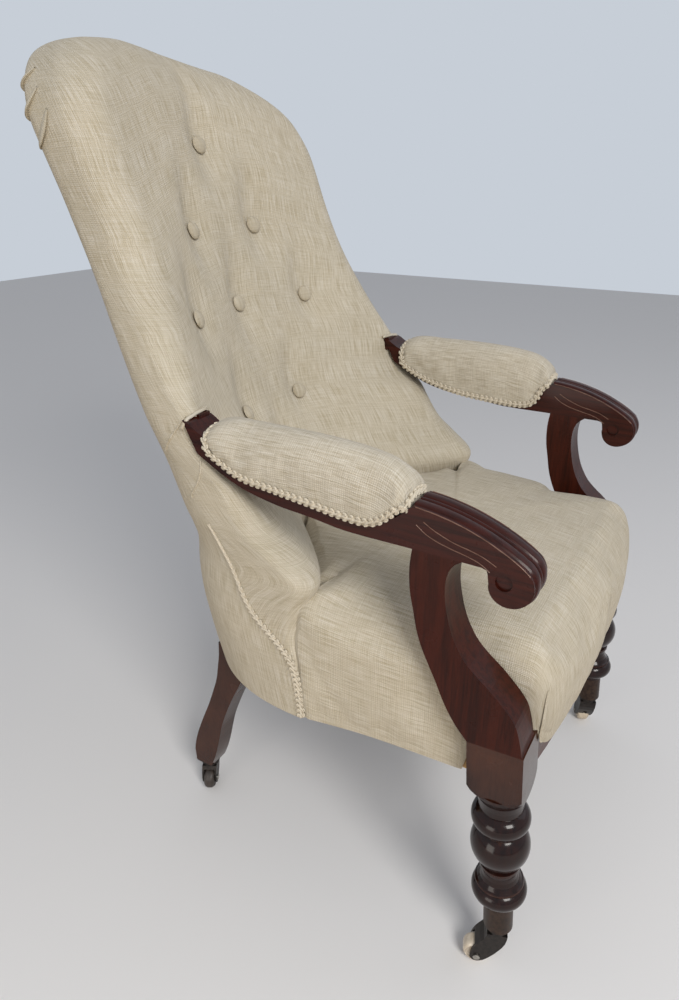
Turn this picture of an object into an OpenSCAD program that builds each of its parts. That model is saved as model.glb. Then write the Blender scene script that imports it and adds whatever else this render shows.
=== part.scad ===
// Button-back open armchair with scrolled arms, turned front legs and castors.
// The chair faces -Y and stands on z = 0. The sitter's right-hand side is -X.
// The origin is on the floor under the middle of the chair's overall box.

/* [Overall] */
// Depth from the front of the seat to the back of the top roll
overall_depth = 764; // [744:2:784]
// Height of the top roll above the floor
overall_height = 1119; // [1099:1:1139]
// Width over the outer faces of the arms
arm_span = 570; // [560:2:600]

/* [Back] */
// Half width of the back at the arms
back_half_w = 282; // [276:0.5:283]
// Half width of the back at the shoulders
shoulder_half_w = 245; // [235:1:255]
// Radius of the rounded top corners, seen from the front
top_corner_r = 100; // [80:2:120]
// Radius of the stuffed roll down each front edge
side_roll_r = 38; // [34:1:42]
// Height of the covers' lower edge
hem_z = 303; // [300:1:304]
// Height of the roll over the top, at its front
top_roll_h = 76; // [60:2:90]
// Height of the roll over the top, at its rear
top_rear_h = 33; // [25:1:45]

/* [Buttons] */
// Diameter of a covered button
button_d = 25; // [18:0.5:30]
// Height of a covered button's dome
button_h = 7; // [5:0.5:9]
// Depth that a button pulls the cover in
button_dip = 13; // [6:0.5:18]
// Spread of a button's dimple
dimple_r = 40; // [30:1:55]

/* [Seat] */
// Height of the middle of the seat's crown
seat_h = 502; // [494:1:512]
// Fall of the crown from the middle to the edge roll
crown_drop = 14; // [6:1:20]
// Radius of the seat's top edge
seat_roll_r = 46; // [36:1:54]
// Forward bow of the front rail at its middle
front_bow = 16; // [6:1:24]
// How far the front edge swells beyond the rail
front_swell = 16; // [10:1:22]

/* [Seat frame] */
// Height of the rails' lower edge
rail_z0 = 309; // [306:1:311]
// Height of the rails' upper edge
rail_top = 375; // [370:1:376]
// Thickness of the seat rails
rail_t = 28; // [22:1:30]
// Height of the front rail's lower edge, where it shows
front_rail_z = 320; // [316:1:326]
// Height of the front cover's lower edge
front_hem_z = 344; // [334:1:352]

/* [Arms] */
// Thickness of the arms and arm posts
arm_t = 44.5; // [38:0.5:48]
// Height of the arm's flat underside
arm_under_z = 604; // [596:1:612]
// Thickness of the arm under its pad
arm_core_t = 31; // [26:1:36]
// Plain margin on each side of the scroll's reeds
reed_margin = 4.5; // [3:0.5:6]
// Width of the slim bead between the two wide reeds
bead_w = 6; // [4:0.5:8]
// Height of a reed's crown
reed_h = 2.4; // [1.4:0.2:3.4]
// Radius of the long curve of the arm
arm_curve_r = 247; // [235:1:260]
// Radius of the scroll's outer turn
scroll_r = 28; // [25:0.5:30]
// Radius of the scroll's inner turn
scroll_tail_r = 23; // [21:0.5:24]
// Depth of the scroll's eye
eye_depth = 3; // [1.5:0.5:5]

/* [Arm pads] */
// Height of the top of the pad
pad_top_z = 696; // [688:1:708]
// Swell of the pad beyond the arm's sides
pad_swell = 4; // [2:0.5:6]
// Rear end of the pad
pad_rear_y = 72; // [66:1:76]
// Front end of the pad
pad_front_y = -211; // [-212:1:-200]

/* [Front legs] */
// Width of the leg block across the chair
block_w = 60; // [50:1:64]
// Depth of the leg block from front to back
block_d = 65; // [60:1:70]
// Height of the middle of the block's top
block_top_z = 382; // [380:0.5:383]
// Length of the block
block_l = 77; // [72:1:80]
// Forward lean of the front legs, in degrees
leg_lean = 4.5; // [2:0.5:6]
// Radius of the ring under the block
ring_r = 35.5; // [31:0.5:38]
// Radius of the ball
ball_r = 36.3; // [32:0.5:40]
// Radius of the lower ring
foot_ring_r = 34.6; // [30:0.5:38]
// Radius of the neck above the castor
neck_r = 18.8; // [17:0.2:20]

/* [Rear legs] */
// Thickness of the rear legs
rear_leg_t = 34; // [30:1:36]
// Outward splay of the rear legs, in degrees
rear_splay = 5; // [3:0.5:6]

/* [Castors] */
// Diameter of the castor wheels
wheel_d = 36; // [32:1:38]
// Width of the ceramic front wheels
front_wheel_w = 20; // [16:1:22]
// Width of the rear wheels
rear_wheel_w = 16; // [12:1:18]
// Trail of the front wheels behind the swivel pin
front_trail = 23; // [18:1:26]
// Trail of the rear wheels behind the swivel pin
rear_trail = 12; // [8:1:14]
// Radius of the axles
axle_r = 3; // [2.5:0.25:3.5]
// Radius of the swivel pins
pin_r = 4; // [3:0.25:4.5]
// Direction that each castor trails: right front, left front, right rear, left rear
castor_turns = [110, 20, 208, 300]; // [0:1:359]

/* [Covers and fits] */
// Thickness of the covers
cover_t = 2; // [1.5:0.25:3]
// Gap between soft pieces and their neighbours
soft_gap = 0.3; // [0.2:0.05:0.5]
// Radial clearance of pins and axles
running_gap = 0.05; // [0.02:0.01:0.08]
// Width of the braid
braid_w = 12; // [8:0.5:14]
// Thickness of the braid
braid_t = 1.6; // [1:0.2:2.4]

/* [Springs] */
// Largest radius of a seat spring
spring_r = 38; // [30:1:42]
// Radius of a spring's waist
spring_waist_r = 24; // [18:1:28]
// Thickness of the spring wire
spring_wire = 3.6; // [3:0.2:4.4]
// Turns in a spring
spring_turns = 5; // [4:1:6]

/* [Hidden] */

mahogany = "#4a241c";
beech = "#c9a878";
linen = "#cfc6b4";
horsehair = "#5a4a3c";
jute = "#b59a6a";
iron = "#2e2a28";

front_y = -overall_depth / 2;
rear_y = overall_depth / 2;
arm_x = arm_span / 2 - arm_t / 2;
front_shift = front_y + 382;
arm_in_x = arm_span / 2 - arm_t;
block_x = arm_span / 2 - block_w / 2;
block_y = front_y + 61;
ridge_y = rear_y - 37;

// General curves

function mix(a, b, t) = a + (b - a) * t;
function slope_at(k, i) =
    let (a = max(i - 1, 0), b = min(i + 1, len(k) - 1))
    (k[b][1] - k[a][1]) / (k[b][0] - k[a][0]);
// A smooth curve through the knots [height, value]
function through(k, z) =
    let (
        i = max([0, each [for (j = [1 : len(k) - 2]) if (z >= k[j][0]) j]]),
        h = k[i + 1][0] - k[i][0],
        t = (z - k[i][0]) / h
    )
    k[i][1] * (2 * t ^ 3 - 3 * t ^ 2 + 1) + k[i + 1][1] * (3 * t ^ 2 - 2 * t ^ 3)
    + slope_at(k, i) * h * (t ^ 3 - 2 * t ^ 2 + t) + slope_at(k, i + 1) * h * (t ^ 3 - t ^ 2);
// The faces of a grid of points, n rows of m points, closed round if loop is true
function grid_faces(n, m, first = 0, loop = false, flip = false) = [
    for (j = [0 : n - 2], i = [0 : m - (loop ? 1 : 2)])
        let (
            a = first + j * m + i,
            b = first + j * m + (i + 1) % m,
            c = b + m,
            d = a + m
        )
        each flip ? [[a, b, c], [a, c, d]] : [[a, c, b], [a, d, c]]
];
// The faces of a strip that joins two rows of points
function strip_faces(p, q) = [
    for (i = [0 : len(p) - 2]) each [[p[i], p[i + 1], q[i + 1]], [p[i], q[i + 1], q[i]]]
];

// The back: its profiles by height

low_z = hem_z;
// The heights above the arms are those of a 1119 mm chair, and stretch with the overall height
arm_zone_z = 700;
drawn_h = 1119;
function up(z) = z < arm_zone_z
    ? z
    : arm_zone_z + (z - arm_zone_z) * (overall_height - arm_zone_z) / (drawn_h - arm_zone_z);
stations = [low_z, 450, 560, 680, up(840), up(1000), overall_height];
function profile(v) = [for (i = [0 : len(v) - 1]) [stations[i], v[i]]];
half_w_knots = profile([279, 281, back_half_w + 0.5, back_half_w, 264, shoulder_half_w, 237]);
wing_knots = profile([-58, -58, -10, 78, 164, 228, 277]);
hollow_knots = profile([66, 84, 131, 180, 223, 263, 300]);
rear_knots = profile([188, 184, 196, 240, 296, rear_y - 37, rear_y + 12.6]);
corner_knots = profile([2.4, 3.2, 2.9, 4, 7, 7, 7]);
upright_knots = profile([40, 44, 62, 124, 216, 298, 344]);
// The roll is drawn in tight where the arm goes in and at the foot
roll_knots = [
    [low_z, 14], [380, 24], [450, 34], [560, 34], [arm_under_z + 31, 18], [arm_under_z + 86, 16],
    [up(760), 30], [up(840), side_roll_r], [overall_height, side_roll_r]
];

roll_z = overall_height - top_roll_h;
rear_roll_z = overall_height - top_rear_h;
// Share of the way to the ridge: 0 below the roll and 1 at the top
function round_over(z, from) =
    z <= from ? 0 : 1 - sqrt(max(0, 1 - ((z - from) / (overall_height - from)) ^ 2));
function half_w(z) =
    let (up = max(0, z - (overall_height - top_corner_r)))
    through(half_w_knots, z) - top_corner_r + sqrt(max(0, top_corner_r ^ 2 - up ^ 2));
function wing_y(z) = mix(through(wing_knots, z), ridge_y, round_over(z, roll_z));
function hollow_y(z) = mix(through(hollow_knots, z), ridge_y, round_over(z, roll_z));
function rear_y_at(z) = mix(through(rear_knots, z), ridge_y, round_over(z, rear_roll_z));
function roll_r(z) = min(through(roll_knots, z), 0.45 * (rear_y_at(z) - wing_y(z)) + 0.01);

// Button places, rows of one, two, three, two and one, each with its seat's height over the dimple
button_spots = [
    [0, up(993), 3.9], [-71, up(883), 4.5], [71, up(883), 4.4], [-134, up(775), 4.5], [0, up(775), 4.7],
    [134, up(775), 3.6],
    [-71, 628, 6.1], [71, 628, 6.1], [0, 536, 6.1]
];
function dip(x, z) = button_dip * max([
    for (b = button_spots) let (q = norm([x - b[0], (z - b[1]) / 1.25]) / dimple_r) exp(-q * q)
]);

// A point of the inside of the back, u from 0 in the middle to 1 at the roll
roll_turn = 32;
function inner_point(z, u, inset) =
    let (
        r = roll_r(z),
        turn = min(roll_turn, 70 * (hollow_y(z) - wing_y(z)) / half_w(z)),
        x1 = half_w(z) - r - r * sin(turn),
        y1 = wing_y(z) + r - r * cos(turn),
        a = abs(u),
        s = u < 0 ? -1 : 1,
        y = hollow_y(z) * (2 * a ^ 3 - 3 * a ^ 2 + 1) + y1 * (3 * a ^ 2 - 2 * a ^ 3)
            - tan(turn) * x1 * (a ^ 3 - a ^ 2),
        x = s * a * x1
    )
    [x, y + inset + dip(x, z), z];
// A point of the roll, t from 0 at its inner end to 1 at the side
function roll_point(z, t, inset) =
    let (
        r = roll_r(z),
        turn = min(roll_turn, 70 * (hollow_y(z) - wing_y(z)) / half_w(z)),
        a = mix(-turn, 90, t)
    )
    [half_w(z) - r + (r - inset) * sin(a), wing_y(z) + r - (r - inset) * cos(a), z];
// A point of the side and rear, f from 0 at the side to 90 at the middle of the rear
function rear_point(z, f, inset) =
    let (
        p = 2 / through(corner_knots, z),
        y0 = wing_y(z) + roll_r(z),
        b = max(0, rear_y_at(z) - y0 - inset)
    )
    [(half_w(z) - inset) * cos(f) ^ p, y0 + b * sin(f) ^ p, z];
// The braid's line on the side of the back, and the turn f at which it lies
braid_low_y = -36;
braid_high_z = 500;
function braid_y(z) =
    z < braid_high_z
        ? mix(braid_low_y, rear_point(braid_high_z, 45, 0)[1], ((z - low_z) / (braid_high_z - low_z)) ^ 0.8)
        : rear_point(z, 45, 0)[1];
function braid_turn(z) =
    let (y0 = wing_y(z) + roll_r(z), t = max(0.0005, (braid_y(z) - y0) / (rear_y_at(z) - y0)))
    z < braid_high_z ? asin(min(1, t) ^ (through(corner_knots, z) / 2)) : 45;

body_rows = [
    low_z, 345, 390, 440, 485, 536, 582, 628, 665,
    for (z = [702, 739, 775, 811, 847, 883, 920, 956, 993]) up(z),
    overall_height - top_corner_r
];
top_rows = [for (a = [15 : 15 : 90]) overall_height - top_corner_r * (1 - sin(a))];
back_rows = concat(body_rows, top_rows);
inner_us = [0, 0.18, 0.355, 0.51, 0.67, 0.83];
roll_ts = [0, 0.33, 0.67, 1];

// One half row of the inside cover, from the middle of the hollow to the braid
function inside_half(z, inset) = concat(
    [for (u = inner_us) inner_point(z, u, inset)],
    [for (t = roll_ts) roll_point(z, t, inset)],
    [for (s = [0.28, 0.62, 1]) rear_point(z, s * braid_turn(z), inset)]
);
function mirrored(row) = [for (i = [len(row) - 1 : -1 : 1]) [-row[i][0], row[i][1], row[i][2]]];
function inside_row(z, inset) = let (h = inside_half(z, inset)) concat(mirrored(h), h);
function outside_half(z, inset) = [
    for (s = [0, 0.22, 0.48, 0.76, 1]) rear_point(z, mix(90, braid_turn(z) + 1.2, s), inset)
];
function outside_row(z, inset) = let (h = outside_half(z, inset)) concat(mirrored(h), h);

// A shell between two grids of points with the same count of rows and points: rows run up or
// back, points run toward +X and the first grid is the outer one
module shell_between(outer, inner) {
    n = len(outer);
    m = len(outer[0]);
    k = n * m;
    points = concat([for (r = outer) each r], [for (r = inner) each r]);
    low = [for (i = [0 : m - 1]) i];
    high = [for (i = [0 : m - 1]) (n - 1) * m + i];
    left = [for (j = [0 : n - 1]) j * m];
    right = [for (j = [0 : n - 1]) j * m + m - 1];
    function inner_ids(v) = [for (i = v) i + k];
    faces = concat(
        grid_faces(n, m), grid_faces(n, m, k, false, true),
        strip_faces(low, inner_ids(low)), strip_faces(inner_ids(high), high),
        strip_faces(inner_ids(left), left), strip_faces(right, inner_ids(right))
    );
    polyhedron(points, faces, convexity = 8);
}

// The covers' inner faces meet under the ridge
ridge_low_z = overall_height - cover_t - 0.2;
ridge_in = cover_t + 5;

// How far the stuffing lies inside the back's outline
stuffing_in = cover_t + soft_gap;

module inside_back_cover() {
    color(linen)
        difference() {
            shell_between(
                [for (z = back_rows) inside_row(z, 0)],
                [for (z = back_rows) inside_row(min(z, ridge_low_z), z > ridge_low_z ? ridge_in : cover_t)]
            );
            for (s = [-1, 1]) arm_room(s);
            seat_frame_room();
        }
}

module outside_back_cover() {
    color(linen)
        shell_between(
            [for (z = back_rows) outside_row(min(z, ridge_low_z), z > ridge_low_z ? ridge_in : cover_t)],
            [for (z = back_rows) outside_row(z, 0)]
        );
}

// The room in the inside cover for the seat frame
module seat_frame_room() {
    translate([-side_rail_x - soft_gap, -90, 280])
        cube([2 * (side_rail_x + soft_gap), 240, rail_top + 21 - 280]);
}

// The back's stuffing: its front follows the cover and its rear lies before the frame
crest_z = up(1044);
stuffing_rows = [
    rail_top + 37, 440, 485, 536, 582, 628, 665,
    for (z = [702, 739, 775, 811, 883, 956, 993, 1020]) up(z),
    crest_z, crest_z + 2, crest_z + 26, crest_z + 48, overall_height - 9
];
stuffing_us = [0, 0.25, 0.5, 0.75];
rear_turns = [90, 72, 54, 38, 22, 10, 1];
// The wadding between the stuffing and the cover
wadding_t = 5;
function wide_dip(x, z) = button_dip * max([
    for (b = button_spots) let (q = norm([x - b[0], z - b[1]]) / (1.5 * dimple_r)) exp(-q * q)
]);
function stuffing_half(z) = concat(
    [
        for (u = stuffing_us)
            let (p = inner_point(z, u, stuffing_in + wadding_t))
            [p[0], p[1] + max(0, wide_dip(p[0], z) - dip(p[0], z)), z]
    ],
    [for (t = [0, 0.5, 1]) roll_point(z, t, stuffing_in + wadding_t)]
);
function stuffing_rear_half(z) =
    z > crest_z
        ? [for (f = rear_turns) rear_point(z, f, stuffing_in + wadding_t)]
        : let (
            w = half_w(z) - stuffing_in - wadding_t,
            y1 = through(upright_knots, z) - soft_gap - 1.5,
            x1 = half_w(z) - upright_in - upright_t - 7
        )
        concat(
            [
                for (u = stuffing_us)
                    let (p = inner_point(z, 0.98 * u, stuffing_in + padding_t))
                    [p[0], p[1] - dip(p[0], z), z]
            ],
            [for (x = [x1, w - 12, w]) [x, y1, z]]
        );
function full_row(half) = concat(mirrored(half), half);
module back_stuffing() {
    color(horsehair)
        difference() {
            shell_between(
                [for (z = stuffing_rows) full_row(stuffing_half(z))],
                [for (z = stuffing_rows) full_row(stuffing_rear_half(z))]
            );
            for (s = [-1, 1]) arm_room(s);
        }
}

// Covered buttons, each square to the back where it sits
function inner_y(x, z) =
    let (
        r = roll_r(z),
        turn = min(roll_turn, 70 * (hollow_y(z) - wing_y(z)) / half_w(z))
    )
    inner_point(z, x / (half_w(z) - r - r * sin(turn)), 0)[1];
module button(x, z, lift) {
    d = 4;
    across = (inner_y(x + d, z) - inner_y(x - d, z)) / (2 * d);
    up = (inner_y(x, z + d) - inner_y(x, z - d)) / (2 * d);
    n = [across, -1, up] / norm([across, -1, up]);
    seat = [x, inner_y(x, z), z] + lift * n;
    ball = ((button_d / 2) ^ 2 + button_h ^ 2) / (2 * button_h);
    translate(seat)
        rotate([0, acos(n[2]), atan2(n[1], n[0])])
            intersection() {
                translate([0, 0, button_h - ball]) sphere(r = ball, $fn = 64);
                cylinder(h = 2 * button_h, d = button_d, $fn = 64);
            }
}
module back_buttons() {
    color(linen)
        for (b = button_spots) button(b[0], b[1], b[2]);
}

// A band that follows a line of sections, each a list of four points
module band(sections, closed = false) {
    n = len(sections);
    m = len(sections[0]);
    points = [for (s = sections) each s];
    walls = [
        for (j = [0 : n - (closed ? 1 : 2)], i = [0 : m - 1])
            let (
                a = j * m + i,
                b = j * m + (i + 1) % m,
                c = ((j + 1) % n) * m + (i + 1) % m,
                d = ((j + 1) % n) * m + i
            )
            each [[a, b, c], [a, c, d]]
    ];
    ends = closed
        ? []
        : concat(
            [for (i = [1 : m - 2]) [0, i + 1, i]],
            [for (i = [1 : m - 2]) [(n - 1) * m, (n - 1) * m + i, (n - 1) * m + i + 1]]
        );
    polyhedron(points, concat(walls, ends), convexity = 6);
}

// The braid down each side of the back, over the covers' joint
function side_x(z, y, out) =
    let (
        n = through(corner_knots, z),
        y0 = wing_y(z) + roll_r(z),
        t = max(0, (y - y0) / (rear_y_at(z) - y0))
    )
    half_w(z) * (1 - t ^ n) ^ (1 / n) + out;
module back_braid(s) {
    zs = [for (i = [0 : 11]) mix(low_z + 2, braid_high_z - 24, i / 11)];
    color(linen)
        band([
            for (z = zs)
                let (y = braid_y(z), a = soft_gap + 0.3, b = soft_gap + 0.3 + braid_t, h = braid_w / 2)
                s > 0
                    ? [
                        [side_x(z, y - h, a), y - h, z], [side_x(z, y + h, a), y + h, z],
                        [side_x(z, y + h, b), y + h, z], [side_x(z, y - h, b), y - h, z]
                    ]
                    : [
                        [-side_x(z, y - h, b), y - h, z], [-side_x(z, y + h, b), y + h, z],
                        [-side_x(z, y + h, a), y + h, z], [-side_x(z, y - h, a), y - h, z]
                    ]
        ]);
}

// The seat: one half of its plan, from the middle of the front to the middle of the rear

side_rail_x = arm_in_x + 14.5;
post_rear_knots = [
    [379, -288.6], [399, -272], [422, -258], [448, -246], [466, -237], [485, -228], [505, -221],
    [528, -216], [551, -211], [570, -209], [588, -209], [606, -211]
];
function post_rear_y(z) = through(post_rear_knots, z) + front_shift;
function block_rear_y(z) = block_y + block_d / 2 - (block_top_z - z) * tan(leg_lean);
function notch_y(z) = z < joint_z ? block_rear_y(z) : max(post_rear_y(z), block_rear_y(z));
joint_z = block_top_z + 3;
function rail_front_y(x) = front_y + 14 + front_bow * (x / 225) ^ 2;
function seat_front_y(x, z) =
    rail_front_y(x) - 14 + (front_swell - 10) * (1 - sin(min(180, max(0, 180 * (z - front_hem_z) / 112))));
seat_side_x = arm_in_x + 21.5;
post_gap_x = arm_in_x - 2.2;
tongue_us = [0.9, 0.72, 0.54, 0.36, 0.18, 0];
tongue_hem_z = rail_top + 25;

// Each column of the seat: its place at height z, its inward way in the wall, the hem's height
// and the roll's radius
function seat_half(z) = concat(
    [for (x = [0, 60, 118, 172, 207]) [[x, seat_front_y(x, z)], [0, 1], front_hem_z + x / 40, seat_roll_r]],
    [
        [[226, seat_front_y(226, z) + 3], [-0.7, 0.8], front_hem_z + 6, seat_roll_r],
        [[236, block_y - 36], [-0.9, 0.5], joint_z + 2.5, seat_roll_r],
        [[post_gap_x, block_y - 18], [-1, 0], joint_z + 2.5, seat_roll_r],
        [[post_gap_x, notch_y(z) - 14], [-1, 0], joint_z + 2.5, seat_roll_r],
        [[post_gap_x + 0.8, notch_y(z) + 2.5], [-1, 1], joint_z - 5, seat_roll_r],
        [[side_rail_x + 2.8, notch_y(z) + 3], [-1, 1], joint_z - 7, seat_roll_r],
        [[seat_side_x - 1.2, notch_y(z) + 9], [-1, 0.3], hem_z + 9, seat_roll_r],
        [[seat_side_x, notch_y(z) + 26], [-1, 0], hem_z + 8, seat_roll_r],
        [[seat_side_x + 1.5, -170], [-1, 0], hem_z + 5, seat_roll_r],
        [[seat_side_x + 1, -115], [-1, 0], hem_z + 3, seat_roll_r],
        [[seat_side_x, wing_y(z) - 4], [-1, -1], hem_z + 1, seat_roll_r],
        [[side_rail_x + 1, wing_y(z) - 4], [-0.1, -1], rail_top + 3, seat_roll_r],
        [[219, wing_y(z) - 4], [-0.4, -1], tongue_hem_z, tongue_roll_r]
    ],
    [
        for (u = tongue_us)
            let (p = inner_point(z, u, 0))
            [[p[0], p[1] - dip(p[0], z) - 3], [-0.5 * u, -0.9], tongue_hem_z, tongue_roll_r]
    ]
);
tongue_roll_r = 26;
seat_edge_z = seat_h - crown_drop;
function toward_spine(p) =
    let (s = [min(150, p[0]), min(-20, max(-290, p[1]))], d = norm(s - p))
    d < 1 ? [0, 0] : (s - p) / d;
// Place of column i at share k of the wall's height, drawn in by d
wall_shares = [0, 0.3, 0.56, 1];
function seat_wall(i, k, d) =
    let (
        c0 = seat_half(400)[i],
        top = seat_edge_z - c0[3],
        z = mix(c0[2], top, k),
        c = seat_half(z)[i]
    )
    [c[0][0] + d * c[1][0], c[0][1] + d * c[1][1], z];
// Place of column i on the roll, turned by a, drawn in by d. The level share of d stays near full
// over the roll, so the stuffing's rear edge keeps clear of the cover.
level_keep = 0.8;
function seat_roll(i, a, d) =
    let (
        r = seat_half(400)[i][3],
        z = seat_edge_z - r + r * sin(a),
        c = seat_half(z)[i],
        w = toward_spine(c[0]) * r * (1 - cos(a)),
        level = d * max(level_keep, cos(a))
    )
    [c[0][0] + w[0] + level * c[1][0], c[0][1] + w[1] + level * c[1][1], z - d * sin(a)];
seat_mid = [0, -150];
function seat_crown(i, f, d) =
    let (p = seat_roll(i, 90, d), g = 1 - (1 - f) ^ 2)
    [mix(p[0], seat_mid[0], f), mix(p[1], seat_mid[1], f), p[2] + crown_drop * g];
seat_columns = [0 : len(seat_half(400)) - 1];
function whole_loop(half) = concat(
    half, [for (i = [len(half) - 2 : -1 : 1]) [-half[i][0], half[i][1], half[i][2]]]
);
function seat_rings(d) = concat(
    [for (k = wall_shares) whole_loop([for (i = seat_columns) seat_wall(i, k, d)])],
    [for (a = [22.5, 45, 67.5, 90]) whole_loop([for (i = seat_columns) seat_roll(i, a, d)])],
    [for (f = [0.3, 0.65]) whole_loop([for (i = seat_columns) seat_crown(i, f, d)])]
);
// A solid of closed rings with a point at each end
module ringed(rings, first, last) {
    n = len(rings);
    m = len(rings[0]);
    points = concat([for (r = rings) each r], [first, last]);
    faces = concat(
        grid_faces(n, m, 0, true, true),
        [for (i = [0 : m - 1]) [i, n * m, (i + 1) % m]],
        [for (i = [0 : m - 1]) [(n - 1) * m + (i + 1) % m, n * m + 1, (n - 1) * m + i]]
    );
    polyhedron(points, [for (f = faces) [f[0], f[2], f[1]]], convexity = 8);
}
function backward(v) = [for (i = [len(v) - 1 : -1 : 0]) v[i]];
module seat_cover() {
    outer = seat_rings(0);
    inner = seat_rings(cover_t);
    color(linen)
        ringed(
            concat(backward(inner), outer),
            [seat_mid[0], seat_mid[1], seat_h - cover_t],
            [seat_mid[0], seat_mid[1], seat_h]
        );
}

// The hessian over the springs: flat on the rails, raised in the middle
platform_z = 424;
hessian_t = 1.2;
hessian_border = [
    [0, front_y + 34], [118, front_y + 36], [208, front_y + 44], [221, block_y - 20],
    [221.5, block_y + block_d / 2 + 4], [241, block_y + block_d / 2 + 6], [243, -200], [243, -75],
    [227.2, -66], [227.2, 58], [217, 86], [188, 108], [150, 122], [90, 138], [0, 147]
];
function hessian_ring(share, z) =
    whole_loop([
        for (p = hessian_border)
            let (q = [min(p[0], 125), min(-75, max(-295, p[1]))])
            [mix(p[0], q[0], share), mix(p[1], q[1], share), z]
    ]);
module seat_hessian() {
    z0 = rail_top + soft_gap;
    t = hessian_t;
    low = [hessian_ring(0, z0), hessian_ring(0.3, z0 + 0.6), hessian_ring(1, platform_z - t)];
    high = [hessian_ring(1, platform_z), hessian_ring(0.3, z0 + 0.6 + t), hessian_ring(0, z0 + t)];
    color(jute)
        ringed(concat(backward(low), backward(high)), [0, -150, platform_z - t], [0, -150, platform_z]);
}

// The seat's stuffing stands on the hessian and fills the cover
module seat_stuffing() {
    d = stuffing_in + 3.7;
    foot = rail_top + 2 * soft_gap + hessian_t + 8.5;
    function at(i, z) = let (c = seat_half(z)[i]) [c[0][0] + d * c[1][0], c[0][1] + d * c[1][1], z];
    function under(i, f, z) =
        let (p = at(i, foot + 4))
        [mix(p[0], min(p[0], 125), f), mix(p[1], min(-75, max(-295, p[1])), f), z];
    rings = concat(
        [
            whole_loop([for (i = seat_columns) under(i, 1, platform_z + 1)]),
            whole_loop([for (i = seat_columns) under(i, 0.35, platform_z + 1)]),
            whole_loop([for (i = seat_columns) at(i, max(foot, seat_half(400)[i][2] - 1))])
        ],
        [whole_loop([for (i = seat_columns) at(i, max(foot + 14, seat_wall(i, wall_shares[2], d)[2]))])],
        [whole_loop([for (i = seat_columns) at(i, seat_edge_z - seat_half(400)[i][3])])],
        [for (a = [22.5, 45, 67.5, 90]) whole_loop([for (i = seat_columns) seat_roll(i, a, d)])],
        [for (f = [0.3, 0.65]) whole_loop([for (i = seat_columns) seat_crown(i, f, d)])]
    );
    color(horsehair)
        ringed(rings, [0, -150, platform_z + 1], [seat_mid[0], seat_mid[1], seat_h - d]);
}

// The seat frame

// The plan of the back at its foot, drawn in by d
function foot_plan(d, step = 6) = concat(
    [for (f = [0 : step : 90]) let (p = rear_point(low_z, f, d)) [p[0], p[1]]],
    [for (f = [90 - step : -step : 0]) let (p = rear_point(low_z, f, d)) [-p[0], p[1]]]
);
module barrel_ring(z0, z1, d0, d1) {
    translate([0, 0, z0])
        linear_extrude(height = z1 - z0)
            difference() {
                polygon(foot_plan(d0));
                polygon(concat([[400, -60]], foot_plan(d1), [[-400, -60]]));
            }
}
module slab(x0, x1, y0, y1, z0, z1) {
    translate([x0, y0, z0]) cube([x1 - x0, y1 - y0, z1 - z0]);
}
module mirror_if(s) {
    if (s > 0) children();
    else mirror([1, 0, 0]) children();
}
// From here on a module with an s is made for the left side and mirrored for the right
ring_in = 12;
ring_t = 32;
corner_y = 44;
leg_top_x = 185;
leg_inner_x = leg_top_x - rear_leg_t / 2 - 8;

module leg_frame() {
    translate([block_x, block_y, block_top_z]) rotate([-leg_lean, 0, 0]) children();
}
module block_solid() {
    leg_frame()
        translate([-block_w / 2, -block_d / 2, -block_l]) cube([block_w, block_d, block_l]);
}
tenon_t = 10;
tenon_h = 40;
tenon_l = 18;
module side_tenon(grow = 0) {
    x = side_rail_x - rail_t / 2;
    y = block_y + block_d / 2;
    slab(
        x - tenon_t / 2 - grow, x + tenon_t / 2 + grow, y - tenon_l - grow, y + 6,
        rail_z0 + 14 - grow, rail_z0 + 14 + tenon_h + grow
    );
}
module front_tenon(grow = 0) {
    x = block_x - block_w / 2;
    y = rail_front_y(x) + rail_t / 2;
    slab(
        x - 6, x + tenon_l + grow, y - tenon_t / 2 - grow, y + tenon_t / 2 + grow,
        front_rail_z + 8 - grow, front_rail_z + 8 + tenon_h + grow
    );
}
module side_rail(s) {
    color(beech)
        mirror_if(s)
            union() {
                difference() {
                    slab(side_rail_x - rail_t, side_rail_x, block_y, corner_y, rail_z0, rail_top);
                    block_solid();
                    slab(0, 400, block_y - 60, block_y + block_d / 2 - 9, 200, 400);
                }
                side_tenon();
            }
}
module front_seat_rail() {
    xs = [for (i = [0 : 20]) mix(-225, 225, i / 20)];
    half = block_x - block_w / 2;
    color(beech)
        union() {
            difference() {
                translate([0, 0, rail_z0])
                    linear_extrude(height = rail_top - rail_z0)
                        polygon(concat(
                            [for (x = xs) [x * half / 225, rail_front_y(x)]],
                            [for (x = backward(xs)) [x * half / 225, rail_front_y(225) + rail_t]]
                        ));
                slab(-400, 400, front_y - 20, rail_front_y(225) + rail_t - 14, rail_z0 - 1, front_rail_z);
            }
            for (s = [-1, 1]) mirror_if(s) front_tenon();
        }
}
module back_seat_rail() {
    color(beech)
        difference() {
            barrel_ring(rail_z0, rail_top, ring_in, ring_in + ring_t);
            for (s = [-1, 1]) mirror_if(s) {
                rear_leg_solid();
                slab(leg_top_x, 400, -100, 400, 200, 500);
                slab(leg_inner_x, 400, -100, 60, 200, 500);
            }
        }
}
module rear_corner_blocks() {
    color(beech)
        for (s = [-1, 1]) mirror_if(s)
            difference() {
                barrel_ring(rail_z0, rail_top, ring_in, ring_in + ring_t);
                rear_leg_solid();
                slab(-400, leg_top_x, -100, 400, 200, 500);
                slab(0, 400, -100, corner_y, 200, 500);
            }
}
glue_block = 42;
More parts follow.
